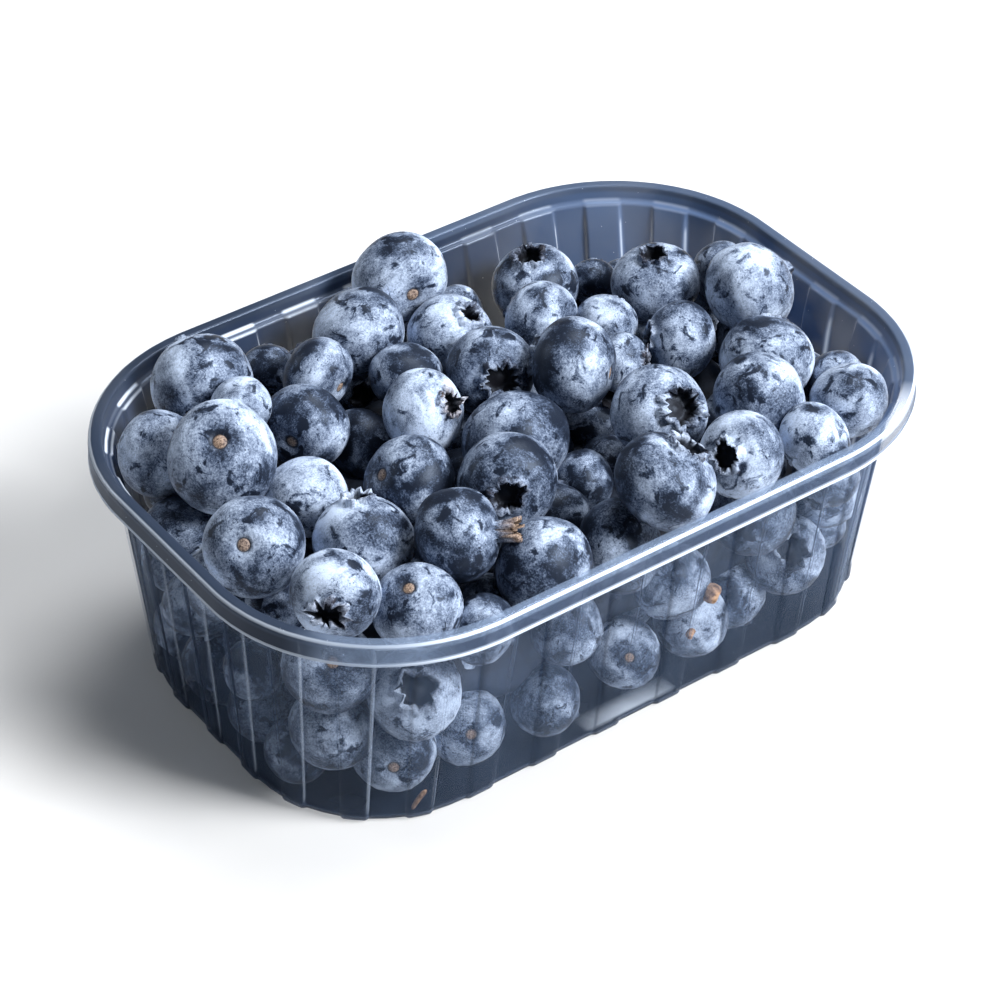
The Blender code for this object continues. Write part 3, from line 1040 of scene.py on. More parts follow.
@dataclass(frozen=True)
class BerryForm:
    """One shape of berry, of radius 1, with its crown up and its stalk end down."""

    crown: float = 0.38
    flaps: int = 5
    star: float = 1.0
    lift: float = 1.0
    ragged: float = 0.18
    dried: float = 0.06
    dimple: float = 0.035
    shoulder: float = 0.03
    gaps: float = 0.5
    fineness: float = 4.2
    tallest: float = 1.06
    stalk_end: bool = True
    seed: int = 1

    def crown_rings(self) -> tuple[CrownRing, ...]:
        """Rings from the bottom of the pit out to the shoulder."""
        return (
            # the pit values of these rings are painted shade in the crown's hollow
            CrownRing(0.20, -0.30, pit=1.0),
            CrownRing(0.45, -0.34, pit=1.0),
            CrownRing(0.66, -0.32, 0.06, 0.0, 1.0),
            CrownRing(0.76, -0.20, 0.12, 0.0, 1.0),
            CrownRing(0.80, -0.07, 0.20, 0.01, 0.9),
            CrownRing(0.83, 0.03, 0.26, 0.07, 0.25, self.dried),
            CrownRing(0.90, 0.070, 0.28, 0.10, 0.0, self.dried),
            CrownRing(0.99, 0.055, 0.24, 0.07, 0.0, self.dried * 0.6),
            CrownRing(1.12, 0.0, 0.12, 0.01),
            CrownRing(1.28, -0.01, 0.04),
        )

    def stalk_rings(self) -> tuple[CrownRing, ...]:
        """Rings from the last of the body in to the stalk's scar, as shares of the berry's radius."""
        sunk = 1.0 if self.stalk_end else 0.0
        return (
            CrownRing(0.32, 0.012 * sunk),
            CrownRing(0.22, 0.035 * sunk),
            # painted shade in the groove round the stalk scar
            CrownRing(0.165, 0.070 * sunk, pit=0.35 * sunk),
            CrownRing(0.135, 0.105 * sunk, pit=0.95 * sunk),
            CrownRing(0.105, 0.090 * sunk, pit=0.5 * sunk, dried=0.85 * sunk),
            CrownRing(0.050, 0.080 * sunk, dried=0.9 * sunk),
        )

    def flap(self, angle: float, row: float) -> tuple[float, float]:
        """How much of a flap there is in one direction from the crown's middle.

        Args:
            angle: the direction.
            row: number of the ring, which shifts the raggedness.

        Returns:
            From -1 between two flaps to 1 on one, and the ragged part.
        """
        bend = noise.noise(Vector((math.cos(angle), math.sin(angle), self.seed * 3.1))) * 1.1
        uneven = noise.noise(Vector((math.cos(angle) * 0.9, math.sin(angle) * 0.9, self.seed * 5.3)))
        full = math.cos(self.flaps * (angle + bend)) * (0.75 + 0.9 * uneven) + 0.9 * uneven
        rough = noise.noise(Vector((math.cos(angle), math.sin(angle), self.seed + row)) * self.fineness)
        return full, rough

    def ring(self, crown_ring: CrownRing, row: int, sides: int, top: bool) -> np.ndarray:
        """Points of one ring of the crown or of the stalk's end.

        Args:
            crown_ring: the ring's sizes.
            row: its number.
            sides: points round it.
            top: whether it is at the crown.

        Returns:
            The points.
        """
        points = []
        for side in range(sides):
            angle = 2 * math.pi * side / sides
            full, rough = self.flap(angle, row * 0.12)
            reach = crown_ring.reach * (self.crown if top else 1.0)
            if top:
                reach *= 1 + crown_ring.star * self.star * 0.6 * full
                reach *= 1 + self.ragged * 2 * rough * min(crown_ring.star * 4, 1)
            height = math.sqrt(1 - min(reach, 0.95) ** 2)
            rise = crown_ring.lift * self.lift * (1 - self.gaps + self.gaps * full) * (1 + 1.5 * rough)
            if top:
                height = min(height + crown_ring.height + rise, self.tallest)
            else:
                height = -height + crown_ring.height
            points.append((reach * math.cos(angle), reach * math.sin(angle), height))
        return np.array(points)

    def body_ring(self, polar: float, sides: int) -> np.ndarray:
        """Ring of the body.

        Args:
            polar: its angle from the crown.
            sides: points round it.

        Returns:
            The points.
        """
        around = np.arange(sides) * 2 * math.pi / sides
        full = 1 + self.shoulder * math.sin(2 * polar) ** 2
        flat = math.sin(polar) * full
        return np.stack(
            (flat * np.cos(around), flat * np.sin(around), np.full(sides, math.cos(polar) * full)), axis=1
        )

    def build(self, name: str, sides: int, body_rings: int) -> bpy.types.Object:
        """Make the form as an object that isn't in the scene.

        Args:
            name: the object's name.
            sides: points round the berry.
            body_rings: rings between crown and stalk end.

        Returns:
            The object.
        """
        crown = self.crown_rings()
        stalk = self.stalk_rings()
        rings = [self.ring(crown_ring, row, sides, True) for row, crown_ring in enumerate(crown)]
        first = math.asin(min(self.crown * 1.28, 0.9)) + 0.10
        last = math.pi - math.asin(stalk[0].reach) - 0.08
        for polar in np.linspace(first, last, body_rings):
            rings.append(self.body_ring(float(polar), sides))
        rings += [self.ring(crown_ring, row, sides, False) for row, crown_ring in enumerate(stalk)]
        rings = [ring[::-1] for ring in rings]
        shape = loft(rings, False, False)
        self.cap(shape, rings[0], crown[0].height)
        self.cap(shape, rings[-1], 0.0)
        bmesh.ops.recalc_face_normals(shape, faces=shape.faces)
        mesh = bpy.data.meshes.new(name)
        shape.to_mesh(mesh)
        shape.free()
        body = [CrownRing(0, 0)] * body_rings
        rows = [*crown, *body, *stalk]
        # painted shade of the pit and of the stalk's groove, for each vertex
        store(mesh, "pit", np.array([row.pit for row in rows for _ in range(sides)] + [crown[0].pit, 0.0]))
        store(mesh, "dried", np.array(
            [row.dried for row in rows for _ in range(sides)] + [0.0, stalk[-1].dried]
        ))
        place = np.empty(len(mesh.vertices) * 3)
        mesh.vertices.foreach_get("co", place)
        store(mesh, "berry_place", place.reshape(-1, 3))
        mesh.shade_smooth()
        return bpy.data.objects.new(name, mesh)

    def cap(self, shape: bmesh.types.BMesh, ring: np.ndarray, sink: float) -> None:
        """Close one end with a fan to a point in its middle.

        Args:
            shape: the shape so far.
            ring: the end's ring.
            sink: any value but 0 lifts the middle 0.02 above the ring's mean; 0 leaves it there.
        """
        shape.verts.ensure_lookup_table()
        middle = shape.verts.new(Vector(ring.mean(axis=0)) + Vector((0, 0, 0.02 if sink else 0.0)))
        loop = [vert for vert in shape.verts if vert.is_boundary]
        end = [vert for vert in loop if vert is not middle and vert.co.z * ring[0][2] > 0]
        end.sort(key=lambda vert: math.atan2(vert.co.y, vert.co.x))
        for index, corner in enumerate(end):
            shape.faces.new((corner, end[(index + 1) % len(end)], middle))


FORMS = {
    Form.STAR: BerryForm(crown=0.37, ragged=0.30),
    Form.WIDE: BerryForm(crown=0.44, star=0.7, ragged=0.34, lift=1.5, dried=0.03, seed=2),
    Form.NARROW: BerryForm(crown=0.30, star=0.9, lift=1.4, ragged=0.28, tallest=1.12, seed=3),
    Form.TORN: BerryForm(crown=0.38, flaps=2, star=1.5, ragged=0.42, lift=1.1, fineness=3.2, dried=0.15, seed=9),
    Form.TUFT: BerryForm(crown=0.19, flaps=7, star=0.5, lift=5.0, ragged=0.5, gaps=0.12, dried=1.0, tallest=1.55, seed=5),
    Form.SEPALS: BerryForm(crown=0.36, star=1.6, lift=2.2, ragged=0.40, dried=0.45, tallest=1.25, seed=6),
    Form.SMOOTH: BerryForm(crown=0.36, stalk_end=False, seed=7),
}


@dataclass(frozen=True)
class Berry:
    """One berry, in millimetres. Bloom runs from 0, rubbed dark, to 1, pale all over. The mark is the
    end that shows, and lies right of and above the berry's middle by these shares of its radius.
    """

    x: float
    y: float
    z: float
    width: float
    bloom: float = 0.5
    mark: Mark = Mark.NONE
    right: float = 0.0
    up: float = 0.0
    form: Form = Form.STAR


N, S, C = Mark.NONE, Mark.STALK, Mark.CROWN

TOP_BERRIES = (
    Berry(-41, 38, 46, 18, 0.70),
    Berry(-58, 27, 44, 15, 0.60),
    Berry(-40, 25, 48, 11, 0.90),
    Berry(-51, 15, 48, 19, 0.75, S, 0.00, 0.35),
    Berry(-59, 16, 35, 13, 0.30),
    Berry(-58, -8, 46, 17, 0.50, S, -0.25, 0.05),
    Berry(-57, -14, 35, 12, 0.40),
    Berry(-54, -27, 47, 15, 0.95, C, -0.25, -0.50, Form.TORN),
    Berry(-25, 40, 40, 11, 0.35),
    Berry(-23, 26, 47, 13, 0.45, S, 0.75, -0.50),
    Berry(-32, 17, 45, 15, 0.50, S, -0.45, -0.45),
    Berry(-21, 15, 37, 13, 0.30),
    Berry(-41, 3, 42, 15, 0.85),
    Berry(-26, -7, 45, 16, 0.40, S, -0.75, 0.20),
    Berry(-41, -15, 44, 17, 0.85, C, -0.10, 0.95, Form.NARROW),
    Berry(-30, -27, 48, 16, 0.35, C, 0.95, 0.10, Form.TUFT),
    Berry(-42, -33, 42, 15, 0.60, S, -0.20, 0.55),
    Berry(-28, -32, 34, 12, 0.40),
    Berry(4, 39, 49, 17, 0.75, S, 0.35, -0.45),
    Berry(-10, 32, 47, 17, 0.60),
    Berry(16, 38, 37, 10, 0.50),
    Berry(5, 25, 44, 16, 0.75, C, 0.50, 0.55, Form.NARROW),
    Berry(-10, 17, 46, 13, 0.50),
    Berry(4, 11, 45, 16, 0.55, C, 0.30, -0.25, Form.WIDE),
    Berry(-14, 6, 47, 15, 0.85, C, 0.75, 0.20, Form.SEPALS),
    Berry(-4, -8, 44, 19, 0.50),
    Berry(14, -1, 49, 17, 0.55, S, 0.95, -0.20),
    Berry(-14, -19, 47, 17, 0.45, C, 0.05, -0.35, Form.STAR),
    Berry(5, -16, 36, 11, 0.30),
    Berry(-4, -19, 35, 13, 0.30),
    Berry(-20, -38, 42, 17, 0.50),
    Berry(-1, -35, 38, 16, 0.45),
    Berry(5, -38, 50, 18, 0.50, C, 0.50, 0.80, Form.STAR),
    Berry(30, 32, 41, 16, 0.60, C, -0.20, 0.75, Form.STAR),
    Berry(42, 30, 38, 9, 0.40),
    Berry(21, 18, 45, 14, 0.60),
    Berry(31, 12, 43, 12, 0.60),
    Berry(27, 2, 42, 11, 0.70, C, 0.95, 0.00, Form.TORN),
    Berry(40, 1, 42, 14, 0.65, C, -0.95, 0.05, Form.STAR),
    Berry(20, -18, 46, 17, 0.70, C, 0.55, 0.15, Form.WIDE),
    Berry(24, -36, 46, 15, 0.80, C, -0.40, -0.05, Form.STAR),
    Berry(46, 16, 44, 16, 0.60, C, -0.10, 0.75, Form.NARROW),
    Berry(60, 14, 41, 12, 0.50),
    Berry(56, 1, 47, 17, 0.80),
    Berry(49, -13, 42, 17, 0.60),
    Berry(37, -25, 46, 17, 0.60),
    Berry(59, -22, 38, 12, 0.50),
    Berry(51, -35, 45, 14, 0.75),
    Berry(38, -40, 45, 13, 0.75),
)

WALL_BERRIES = (
    Berry(-56, -23, 28, 16, 0.45, S, 0.10, 0.10),
    Berry(-44, -34, 25, 16, 0.80, C, 0.10, 0.05, Form.WIDE),
    Berry(-55, -24, 13, 15, 0.50),
    Berry(-57, -8, 8, 14, 0.40),
    Berry(-57, -18, 6, 12, 0.40),
    Berry(-47, -27, 8, 15, 0.55, S, 0.00, -0.55),
    Berry(-31, -30, 8, 14, 0.60, S, 0.20, -0.30),
    Berry(-60, -7, 19, 11, 0.40),
    Berry(-32, -40, 36, 12, 0.50),
    Berry(-14, -37, 26, 13, 0.50),
    Berry(1, -34, 11, 13, 0.60, S, 0.20, -0.20),
    Berry(-16, -33, 8, 13, 0.50),
    Berry(10, -36, 24, 14, 0.60),
    Berry(19, -33, 9, 14, 0.60),
    Berry(30, -31, 8, 14, 0.60),
    Berry(36, -34, 14, 15, 0.60, C, 0.20, 0.10, Form.WIDE),
    Berry(50, -29, 22, 15, 0.60, C, 0.00, 0.20, Form.STAR),
)


@dataclass
class BerryHeap:
    """Loose berries that fill the punnet and heap up over its rim, in millimetres."""

    shell: PunnetShell
    eye: Vector
    top: tuple[Berry, ...] = TOP_BERRIES
    wall: tuple[Berry, ...] = WALL_BERRIES
    row_heights: tuple[float, ...] = (7.6, 19.5, 31.0)
    row_spacing: float = 14.6
    layer_height: float = 32.0
    second_row_heights: tuple[float, ...] = (13.5, 25.0)
    second_row_inset: float = 9.5
    layer_spacing: float = 14.5
    layer_inset: float = 8.0
    row_packing: float = 0.87
    fill_widths: tuple[float, ...] = (13.0, 15.0, 14.0, 16.0, 12.0)
    fill_bloom: tuple[float, float] = (0.25, 0.75)
    oblate: float = 0.88
    wide: float = 1.02
    touch: float = 0.25
    nearest: float = 0.80
    tightest: float = 0.30
    ceiling: float = 59.0
    floor_gap: float = 0.6
    most_shift: float = 2.5
    sideways: float = 0.25
    settle_steps: int = 160
    top_freedom: float = 0.15
    wall_freedom: float = 0.4
    seed: int = 11

    def towards_eye(self, place: np.ndarray) -> Vector:
        """Direction from a berry to where it is looked at from."""
        return (self.eye - Vector(place)).normalized()

    def wall_rows(self) -> list[tuple[float, ...]]:
        """Spots in rows round the wall, an even number of steps from the middle of the front.

        Returns:
            Middle and width of a berry at each spot.
        """
        spots = []
        rows = [(height, 0.0) for height in self.row_heights]
        rows += [(height, self.second_row_inset) for height in self.second_row_heights]
        for row, (height, inset) in enumerate(rows):
            inner = self.shell.inner_outline(height).inset(inset)
            count = round(inner.inset(self.row_spacing / 2).perimeter() / self.row_spacing)
            for step in range(count):
                width = self.fill_widths[(step + row) % len(self.fill_widths)]
                outline = inner.inset(width / 2)
                travel = (step + row / 2) / count * outline.perimeter()
                spot, _ = outline.point(*outline.locate(travel))
                spots.append((*spot, height, width))
        return spots

    def inner_layer(self) -> list[tuple[float, ...]]:
        """Spots side by side under the top layer, in rows shifted by half a step.

        Returns:
            Middle and width of a berry at each spot.
        """
        spots = []
        inner = self.shell.outline_at(self.layer_height).inset(self.layer_inset)
        rows = round(2 * inner.half_width / self.layer_spacing / self.row_packing)
        steps = round(2 * inner.half_length / self.layer_spacing)
        for row in range(rows + 1):
            y = inner.half_width * (2 * row / rows - 1)
            for step in range(steps + 1):
                x = (step + row % 2 / 2) * self.layer_spacing - inner.half_length
                if inner.room(x, y)[0] > 0:
                    width = self.fill_widths[(step + row) % len(self.fill_widths)]
                    spots.append((x, y, self.layer_height, width))
        return spots

    def fill(self) -> list[Berry]:
        """Berries that fill the punnet where none is listed.

        Returns:
            Those along the wall in rows, then those of the layers inside.
        """
        rng = random.Random(self.seed)
        spots = self.wall_rows() + self.inner_layer()
        placed = [*self.top, *self.wall]
        added = []
        for x, y, z, width in spots:
            gaps = [
                math.dist((x, y, z), (other.x, other.y, other.z)) - self.nearest * (width + other.width) / 2
                for other in placed
            ]
            if min(gaps) >= 0:
                bloom, form = rng.uniform(*self.fill_bloom), rng.choice((Form.STAR, Form.WIDE, Form.STAR))
                berry = Berry(x, y, z, width, bloom, Mark.ANY, form=form)
                placed.append(berry)
                added.append(berry)
        return added

    def settle(self, berries: list[Berry]) -> np.ndarray:
        """Move berries apart until they just touch, and keep them inside the wall.

        The upper ones and those listed one by one move mostly towards or away from the eye, so that
        their places as seen stay.

        Args:
            berries: the upper ones first, then those placed at the wall, then the fill.

        Returns:
            The middles, in millimetres.
        """
        places = np.array([(berry.x, berry.y, berry.z) for berry in berries], float)
        start = places.copy()
        radii = np.array([berry.width / 2 * (self.wide + self.oblate) / 2 for berry in berries])
        held = len(self.top) + len(self.wall)
        freedom = np.ones(len(berries))
        freedom[: len(self.top)] = self.top_freedom
        freedom[len(self.top) : held] = self.wall_freedom
        towards = np.array([self.towards_eye(place) for place in places])
        share = freedom[:, None] / (freedom[:, None] + freedom[None])
        for _ in range(self.settle_steps):
            apart = places[:, None] - places[None]
            gap = np.linalg.norm(apart, axis=2) + np.eye(len(berries)) * 1e3
            press = np.clip(radii[:, None] + radii[None] - self.touch - gap, 0, None)
            push = (apart / gap[..., None] * (press * share)[..., None]).sum(axis=1) * 0.5
            push += self.wall_push(places, radii)
            along = (push[:held] * towards[:held]).sum(axis=1, keepdims=True) * towards[:held]
            push[:held] = along + (push[:held] - along) * self.sideways
            places += push
            shift = places[:held] - start[:held]
            length = np.linalg.norm(shift, axis=1, keepdims=True)
            places[:held] = start[:held] + shift * np.minimum(1, self.most_shift / np.maximum(length, 1e-6))
        return places

    def wall_push(self, places: np.ndarray, radii: np.ndarray) -> np.ndarray:
        """Push on berries that reach into the wall, through the floor or too high.

        Args:
            places: the middles.
            radii: the radii.

        Returns:
            A move for each berry.
        """
        push = np.zeros_like(places)
        for index, (place, radius) in enumerate(zip(places, radii)):
            height = place[2]
            if height < self.shell.rim_height:
                room, out = self.shell.inner_outline(height).room(place[0], place[1])
            else:
                over = height - self.shell.rim_height
                room, out = self.shell.rim.inset(self.shell.flange_width).room(place[0], place[1])
                room += radius - math.sqrt(max(radius**2 - over**2, 0))
            short = radius * self.wide + 0.1 - room
            if short > 0:
                push[index, :2] -= out * short
            floor = radius * self.wide + self.shell.wall + self.floor_gap
            push[index, 2] += max(floor - height, 0) - max(height + radius * self.wide - self.ceiling, 0)
        return push

    def crown_direction(self, berry: Berry, place: np.ndarray, rng: random.Random) -> Vector:
        """Direction that a berry's crown points in.

        Args:
            berry: the berry.
            place: its middle.
            rng: the source of random numbers.

        Returns:
            The direction, of length 1.
        """
        if berry.mark is Mark.ANY:
            return Vector([rng.gauss(0, 1) for _ in range(3)]).normalized()
        towards = self.towards_eye(place)
        right = Vector((0, 0, 1)).cross(towards).normalized()
        up = towards.cross(right)
        if berry.mark is Mark.NONE:
            turn = rng.uniform(0, 2 * math.pi)
            return (-towards * 0.55 + right * math.cos(turn) + up * math.sin(turn)).normalized()
        depth = math.sqrt(max(1 - berry.right**2 - berry.up**2, 0))
        direction = right * berry.right + up * berry.up + towards * depth
        return direction if berry.mark is Mark.CROWN else -direction

    def seeds(self, berries: list[Berry], places: np.ndarray, name: str) -> bpy.types.Object:
        """Points that carry what each berry needs to know.

        Args:
            berries: the berries.
            places: their middles, in millimetres.
            name: the name of the object.

        Returns:
            The object, one vertex for each berry.
        """
        rng = random.Random(self.seed + len(berries))
        mesh = bpy.data.meshes.new(name)
        mesh.from_pydata([Vector(place) * MM for place in places], [], [])
        turns, sizes, forms = [], [], []
        for berry, place in zip(berries, places):
            direction = self.crown_direction(berry, place, rng)
            spin = Matrix.Rotation(rng.uniform(0, 2 * math.pi), 3, "Z")
            turns.append((direction.to_track_quat("Z", "Y").to_matrix() @ spin).to_euler()[:])
            radius = berry.width / 2 * MM
            squash = rng.uniform(-0.03, 0.03)
            sizes.append((
                radius * self.wide * (1 + squash),
                radius * self.wide * (1 - squash),
                radius * (self.oblate + rng.uniform(-0.03, 0.03)),
            ))
            smooth = berry.mark is Mark.NONE and berry.form is Form.STAR
            forms.append((Form.SMOOTH if smooth else berry.form).value)
        store(mesh, "turn", np.array(turns))
        store(mesh, "size", np.array(sizes))
        store(mesh, "form", np.array(forms, dtype=int))
        store(mesh, "bloom", np.array([berry.bloom for berry in berries]))
        store(mesh, "seed", np.array([rng.uniform(0, 50) for _ in berries]))
        return add_object(name, mesh)

    def grow(
        self, name: str, berries: list[Berry], places: np.ndarray, sides: int, rings: int,
        skin: bpy.types.Material,
    ) -> bpy.types.Object:
        """Make one piece of berries with Geometry Nodes.

        Args:
            name: the piece's name.
            berries: its berries.
            places: their middles, in millimetres.
            sides: points round each berry.
            rings: rings along its body.
            skin: its material.

        Returns:
            The piece, as a plain mesh.
        """
        forms = bpy.data.collections.new("berry forms")
        for form, shape in FORMS.items():
            forms.objects.link(shape.build(f"form_{form.value:02d}", sides, rings))
        piece = self.seeds(berries, places, name)
        tree = berry_tree()
        values = {"Forms": forms, "Unevenness": 0.075, "Lump Size": 0.8, "Finish": skin}
        grown = piece.modifiers.new("Berries", "NODES")
        grown.node_group = tree
        for socket in tree.interface.items_tree:
            if socket.in_out == "INPUT" and socket.name in values:
                grown[socket.identifier] = values[socket.name]
        make_plain(piece)
        for form in list(forms.objects):
            bpy.data.objects.remove(form)
        bpy.data.collections.remove(forms)
        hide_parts("blueberries")
        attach(piece, "root")
        return piece

    def build(self, skin: bpy.types.Material) -> list[bpy.types.Object]:
        """Make all berries.

        Args:
            skin: their material.

        Returns:
            The finely made upper ones, and the others.
        """
        berries = [*self.top, *self.wall, *self.fill()]
        places = self.settle(berries)
        top = len(self.top)
        held = top + len(self.wall)
        radii = np.array([berry.width / 2 for berry in berries])
        kept = list(range(top, held))
        for index in range(held, len(berries)):
            before = [*range(top), *kept]
            away = np.linalg.norm(places[before] - places[index], axis=1)
            deepest = (radii[before] + radii[index] - away).max()
            if deepest < self.tightest * radii[index] * 2:
                kept.append(index)
        LOG.info("berries: %d upper, %d below, %d dropped", top, len(kept), len(berries) - top - len(kept))
        upper = self.grow("berries_top", list(self.top), places[:top], 44, 22, skin)
        below = [berries[index] for index in kept]
        lower = self.grow("berries_below", below, places[kept], 20, 9, skin)
        return [upper, lower]


def berry_tree() -> bpy.types.NodeTree:
    """Geometry Nodes that set a berry on each point, turned and sized, and make each one uneven.

    Returns:
        The tree.
    """
    tree = bpy.data.node_groups.new("Berries", "GeometryNodeTree")
    for name, kind, value in (
        ("Geometry", "NodeSocketGeometry", None),
        ("Forms", "NodeSocketCollection", None),
        ("Unevenness", "NodeSocketFloat", 0.05),
        ("Lump Size", "NodeSocketFloat", 0.8),
        ("Finish", "NodeSocketMaterial", None),
    ):
        socket = tree.interface.new_socket(name, in_out="INPUT", socket_type=kind)
        if value is not None:
            socket.default_value = value
    tree.interface.new_socket("Geometry", in_out="OUTPUT", socket_type="NodeSocketGeometry")
    build = Shading(tree)
    source = build.node("NodeGroupInput").outputs
    sink = build.node("NodeGroupOutput")

    def stored(name: str, kind: str) -> bpy.types.NodeSocket:
        """Value that each point carries."""
        read = build.node("GeometryNodeInputNamedAttribute", {"Name": name}, data_type=kind)
        return read.outputs["Attribute"]

    picked = build.node(
        "GeometryNodeCollectionInfo",
        {"Collection": source["Forms"], "Separate Children": True, "Reset Children": True},
    )
    placed = build.node(
        "GeometryNodeInstanceOnPoints",
        {
            "Points": source["Geometry"],
            "Instance": picked.outputs[0],
            "Pick Instance": True,
            "Instance Index": stored("form", "INT"),
            "Rotation": stored("turn", "FLOAT_VECTOR"),
            "Scale": stored("size", "FLOAT_VECTOR"),
        },
    )
    solid = build.node("GeometryNodeRealizeInstances", {"Geometry": placed.outputs[0]})
    own = build.node(
        "ShaderNodeVectorMath",
        {0: stored("berry_place", "FLOAT_VECTOR"), 1: stored("seed", "FLOAT")},
        operation="ADD",
    )
    lumps = build.noise(own.outputs[0], 0.8, 1.0)
    build.put(source["Lump Size"], lumps.node.inputs["Scale"])
    swell = build.math("MULTIPLY", build.math("SUBTRACT", lumps, 0.5), source["Unevenness"])
    girth = build.node("ShaderNodeSeparateXYZ", {0: stored("size", "FLOAT_VECTOR")})
    reach = build.math("MULTIPLY", swell, build.math("MULTIPLY", girth.outputs[0], 2.0))
    normal = build.node("GeometryNodeInputNormal").outputs[0]
    offset = build.node("ShaderNodeVectorMath", {0: normal, "Scale": reach}, operation="SCALE")
    uneven = build.node("GeometryNodeSetPosition", {"Geometry": solid.outputs[0], "Offset": offset.outputs[0]})
    smooth = build.node("GeometryNodeSetShadeSmooth", {"Geometry": uneven.outputs[0]})
    dressed = build.node(
        "GeometryNodeSetMaterial",
        {"Geometry": smooth.outputs[0], "Material": source["Finish"]},
    )
    build.put(dressed.outputs[0], sink.inputs["Geometry"])
    return tree


@dataclass
class BerryCore:
    """Body of berries packed behind those that show, in millimetres, coloured nearly black as painted shade."""

    shell: PunnetShell
    low: float = 6.0
    high: float = 34.0
    inset: float = 9.5
    round_ends: float = 8.0
    berry: float = 14.0
    bump: float = 5.0
    sides: int = 150
    rings: int = 26

    def build(self, material: bpy.types.Material) -> bpy.types.Object:
        """Make the core.

        Args:
            material: its finish.

        Returns:
            The core.
        """
        rings = []
        for step in range(self.rings + 1):
            share = step / self.rings
            turn = math.pi * share
            height = (self.low + self.high) / 2 - math.cos(turn) * (self.high - self.low) / 2
            tuck = self.round_ends * (1 - math.sin(turn) ** 0.5) * 2.2
            outline = self.shell.inner_outline(height).inset(self.inset + tuck)
            ring = []
            for side in range(self.sides):
                spot, out = outline.point(*outline.locate(side / self.sides * outline.perimeter()))
                place = Vector((*spot, height))
                nearest = noise.voronoi(place / self.berry)[0][0]
                swell = (0.45 - nearest) * self.bump
                ring.append(Vector((*(spot + out * swell), height + swell * -math.cos(turn))) * MM)
            rings.append(np.array(ring))
        shape = loft(rings, True, True)
        mesh = bpy.data.meshes.new("berry_core")
        shape.to_mesh(mesh)
        shape.free()
        mesh.shade_smooth()
        core = add_object("berry_core", mesh, material)
        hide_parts("blueberries")
        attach(core, "root")
        return core


@dataclass(frozen=True)
class Stalk:
    """Bit of dry stalk that lies among the berries, in millimetres."""

    start: tuple[float, float, float]
    end: tuple[float, float, float]
    thick: float
    flare: float


@dataclass
class Stalks:
    """Loose bits of stalk that show through the near wall, in millimetres."""

    bits: tuple[Stalk, ...] = (
        Stalk((14.2, -40.6, 20.6), (15.6, -40.4, 23.8), 2.9, 1.25),
        Stalk((10.6, -39.9, 13.4), (11.8, -39.7, 15.0), 1.3, 1.1),
        Stalk((-46.8, -36.4, 1.6), (-44.4, -37.2, 5.4), 0.8, 1.3),
    )
    sides: int = 14
    rings: int = 9
    ridges: float = 0.16
    bow: float = 0.25

    def tube(self, bit: Stalk) -> list[np.ndarray]:
        """Rings along one bit, ragged and a little bent.

        Args:
            bit: the bit.

        Returns:
            The rings in metres.
        """
        start, end = Vector(bit.start), Vector(bit.end)
        along = (end - start).normalized()
        side = along.cross(Vector((0.3, 1.0, 0.2))).normalized()
        other = along.cross(side)
        rings = []
        for step in range(self.rings + 1):
            share = step / self.rings
            middle = start.lerp(end, share) + side * self.bow * math.sin(math.pi * share)
            blunt = math.sqrt(max(1 - (2 * share - 1) ** 6, 0.15))
            radius = bit.thick / 2 * blunt * (1 + (bit.flare - 1) * share)
            ring = []
            for index in range(self.sides):
                angle = 2 * math.pi * index / self.sides
                out = side * math.cos(angle) + other * math.sin(angle)
                ridge = 1 + self.ridges * noise.noise((out * 3 + along * share) * 1.7 + start)
                ring.append((middle + out * radius * ridge) * MM)
            rings.append(np.array(ring))
        return rings

    def build(self, material: bpy.types.Material) -> bpy.types.Object:
        """Make all bits as one piece.

        Args:
            material: their finish.

        Returns:
            The piece.
        """
        mesh = bpy.data.meshes.new("berry_stalks")
        whole = bmesh.new()
        for bit in self.bits:
            shape = loft(self.tube(bit), True, True)
            part = bpy.data.meshes.new("stalk")
            shape.to_mesh(part)
            shape.free()
            whole.from_mesh(part)
            bpy.data.meshes.remove(part)
        bmesh.ops.recalc_face_normals(whole, faces=whole.faces)
        whole.to_mesh(mesh)
        whole.free()
        mesh.shade_smooth()
        piece = add_object("berry_stalks", mesh, material)
        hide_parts("blueberries")
        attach(piece, "root")
        return piece


# --------------------------------------------------------------------------------------------------
# Studio
# --------------------------------------------------------------------------------------------------


@dataclass(frozen=True)
class SoftLight:
    """Soft light that hangs in one direction from the punnet."""

    name: str
    direction: tuple[float, float, float]
    distance: float
    size: tuple[float, float]
    watts: float
    colour: tuple[float, float, float] = (1.0, 1.0, 1.0)

    def build(self, target: Vector) -> None:
        """Hang the light and aim it.

        Args:
            target: what it is aimed at.
        """
        lamp = bpy.data.lights.new(self.name, "AREA")
        lamp.shape = "RECTANGLE"
        lamp.size, lamp.size_y = self.size
        lamp.energy = self.watts
        lamp.color = self.colour
        item = bpy.data.objects.new(self.name, lamp)
        direction = Vector(self.direction).normalized()
        item.location = target + direction * self.distance
        item.rotation_euler = direction.to_track_quat("Z", "Y").to_euler()
        bpy.context.scene.collection.objects.link(item)


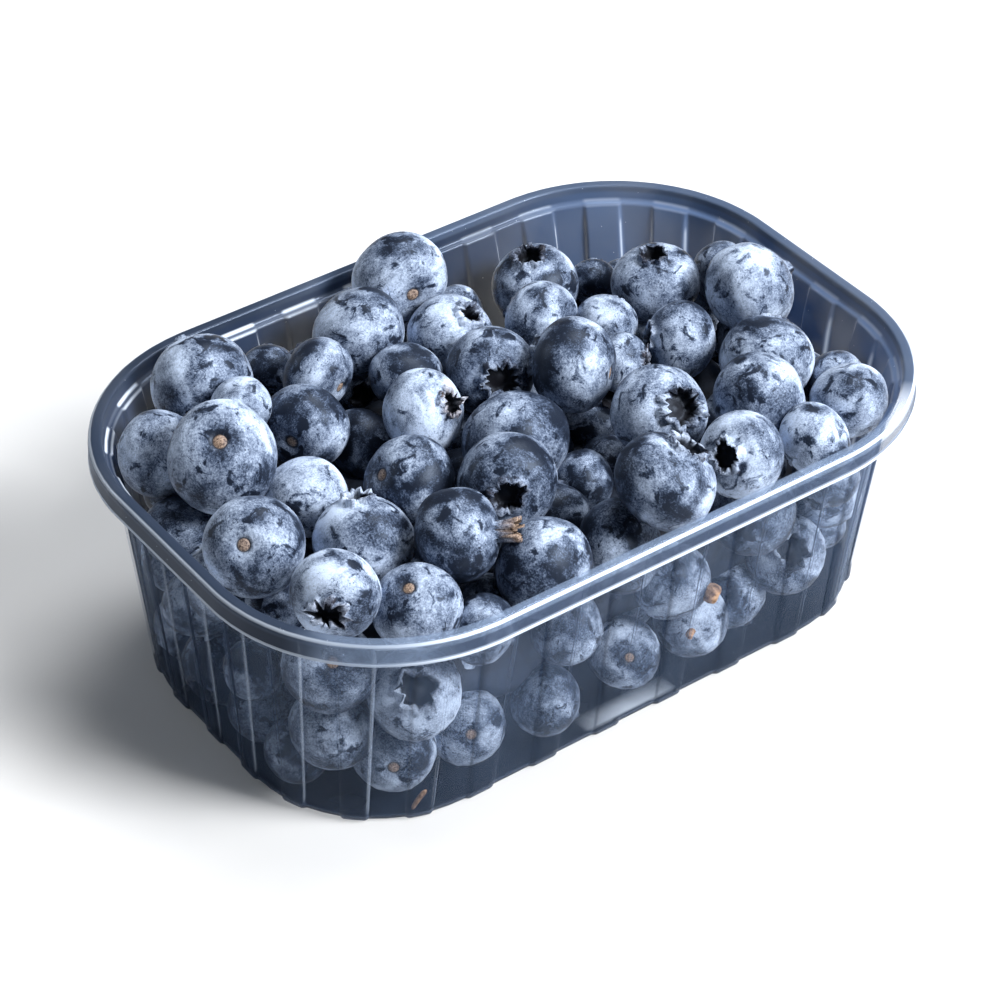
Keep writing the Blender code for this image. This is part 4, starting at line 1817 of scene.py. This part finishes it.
@dataclass
class Studio:
    """Pale floor, soft lights and the camera."""

    eye: Vector = Vector((-0.2755, -0.3777, 0.3985))
    aim: Vector = Vector((0.0, 0.0, 0.0243))
    lens: float = 119.0
    shift: tuple[float, float] = (-0.0074, -0.0010)
    floor_size: float = 6.0
    sky: tuple[float, float, float] = (0.80, 0.86, 0.95)
    sky_strength: float = 0.12
    lights: tuple[SoftLight, ...] = (
        SoftLight("key", (0.41, -0.63, 0.66), 1.1, (0.38, 0.38), 24.5),
        SoftLight("overhead", (0.42, 0.15, 0.90), 1.0, (0.45, 0.40), 8.0),
        SoftLight("back", (-0.45, 0.63, 0.40), 1.2, (0.35, 0.25), 2.5, (0.92, 0.96, 1.0)),
    )

    def build(self) -> None:
        """Set up floor, lights, world and camera."""
        shape = bmesh.new()
        bmesh.ops.create_grid(shape, x_segments=1, y_segments=1, size=self.floor_size / 2)
        mesh = bpy.data.meshes.new("floor")
        shape.to_mesh(mesh)
        shape.free()
        finish = RoughFinish("floor", (0.64, 0.65, 0.66), (0.67, 0.67, 0.67), 3.0, 0.8, 0.0)
        floor = add_object("floor", mesh, finish.material())
        for light in self.lights:
            light.build(self.aim)
        world = bpy.data.worlds.new("studio")
        world.use_nodes = True
        background = world.node_tree.nodes["Background"]
        background.inputs["Color"].default_value = (*self.sky, 1.0)
        background.inputs["Strength"].default_value = self.sky_strength
        bpy.context.scene.world = world
        camera = bpy.data.cameras.new("camera")
        camera.lens = self.lens
        camera.shift_x, camera.shift_y = self.shift
        item = bpy.data.objects.new("camera", camera)
        item.location = self.eye
        item.rotation_euler = (self.eye - self.aim).to_track_quat("Z", "Y").to_euler()
        bpy.context.scene.collection.objects.link(item)
        bpy.context.scene.camera = item
        bpy.context.scene.view_settings.view_transform = "Standard"


def main() -> None:
    """Build the punnet, the berries and the studio."""
    logging.basicConfig(level=logging.INFO, format="%(name)s: %(message)s")
    studio = Studio()
    studio.build()
    speckle = speckle_group()
    shell = PunnetShell()
    heap = BerryHeap(shell, studio.eye / MM)
    # painted shade: the core is coloured nearly black, for the berries deep in the heap's shade
    core_shade_finish = RoughFinish("packed berries", (0.006, 0.009, 0.018), (0.03, 0.045, 0.08), 160.0, 0.7, 0.4)
    stalk_finish = RoughFinish("dry stalk", (0.10, 0.050, 0.026), (0.46, 0.29, 0.18), 900.0, 0.8, 0.5)
    pieces = [
        shell.build(PlasticFinish(), speckle),
        *heap.build(BerrySkinFinish().material(speckle)),
        BerryCore(shell).build(core_shade_finish.material()),
        Stalks().build(stalk_finish.material()),
    ]
    for piece in pieces:
        LOG.info("%s: %d faces", piece.name, len(piece.data.polygons))


if __name__ == "__main__":
    main()
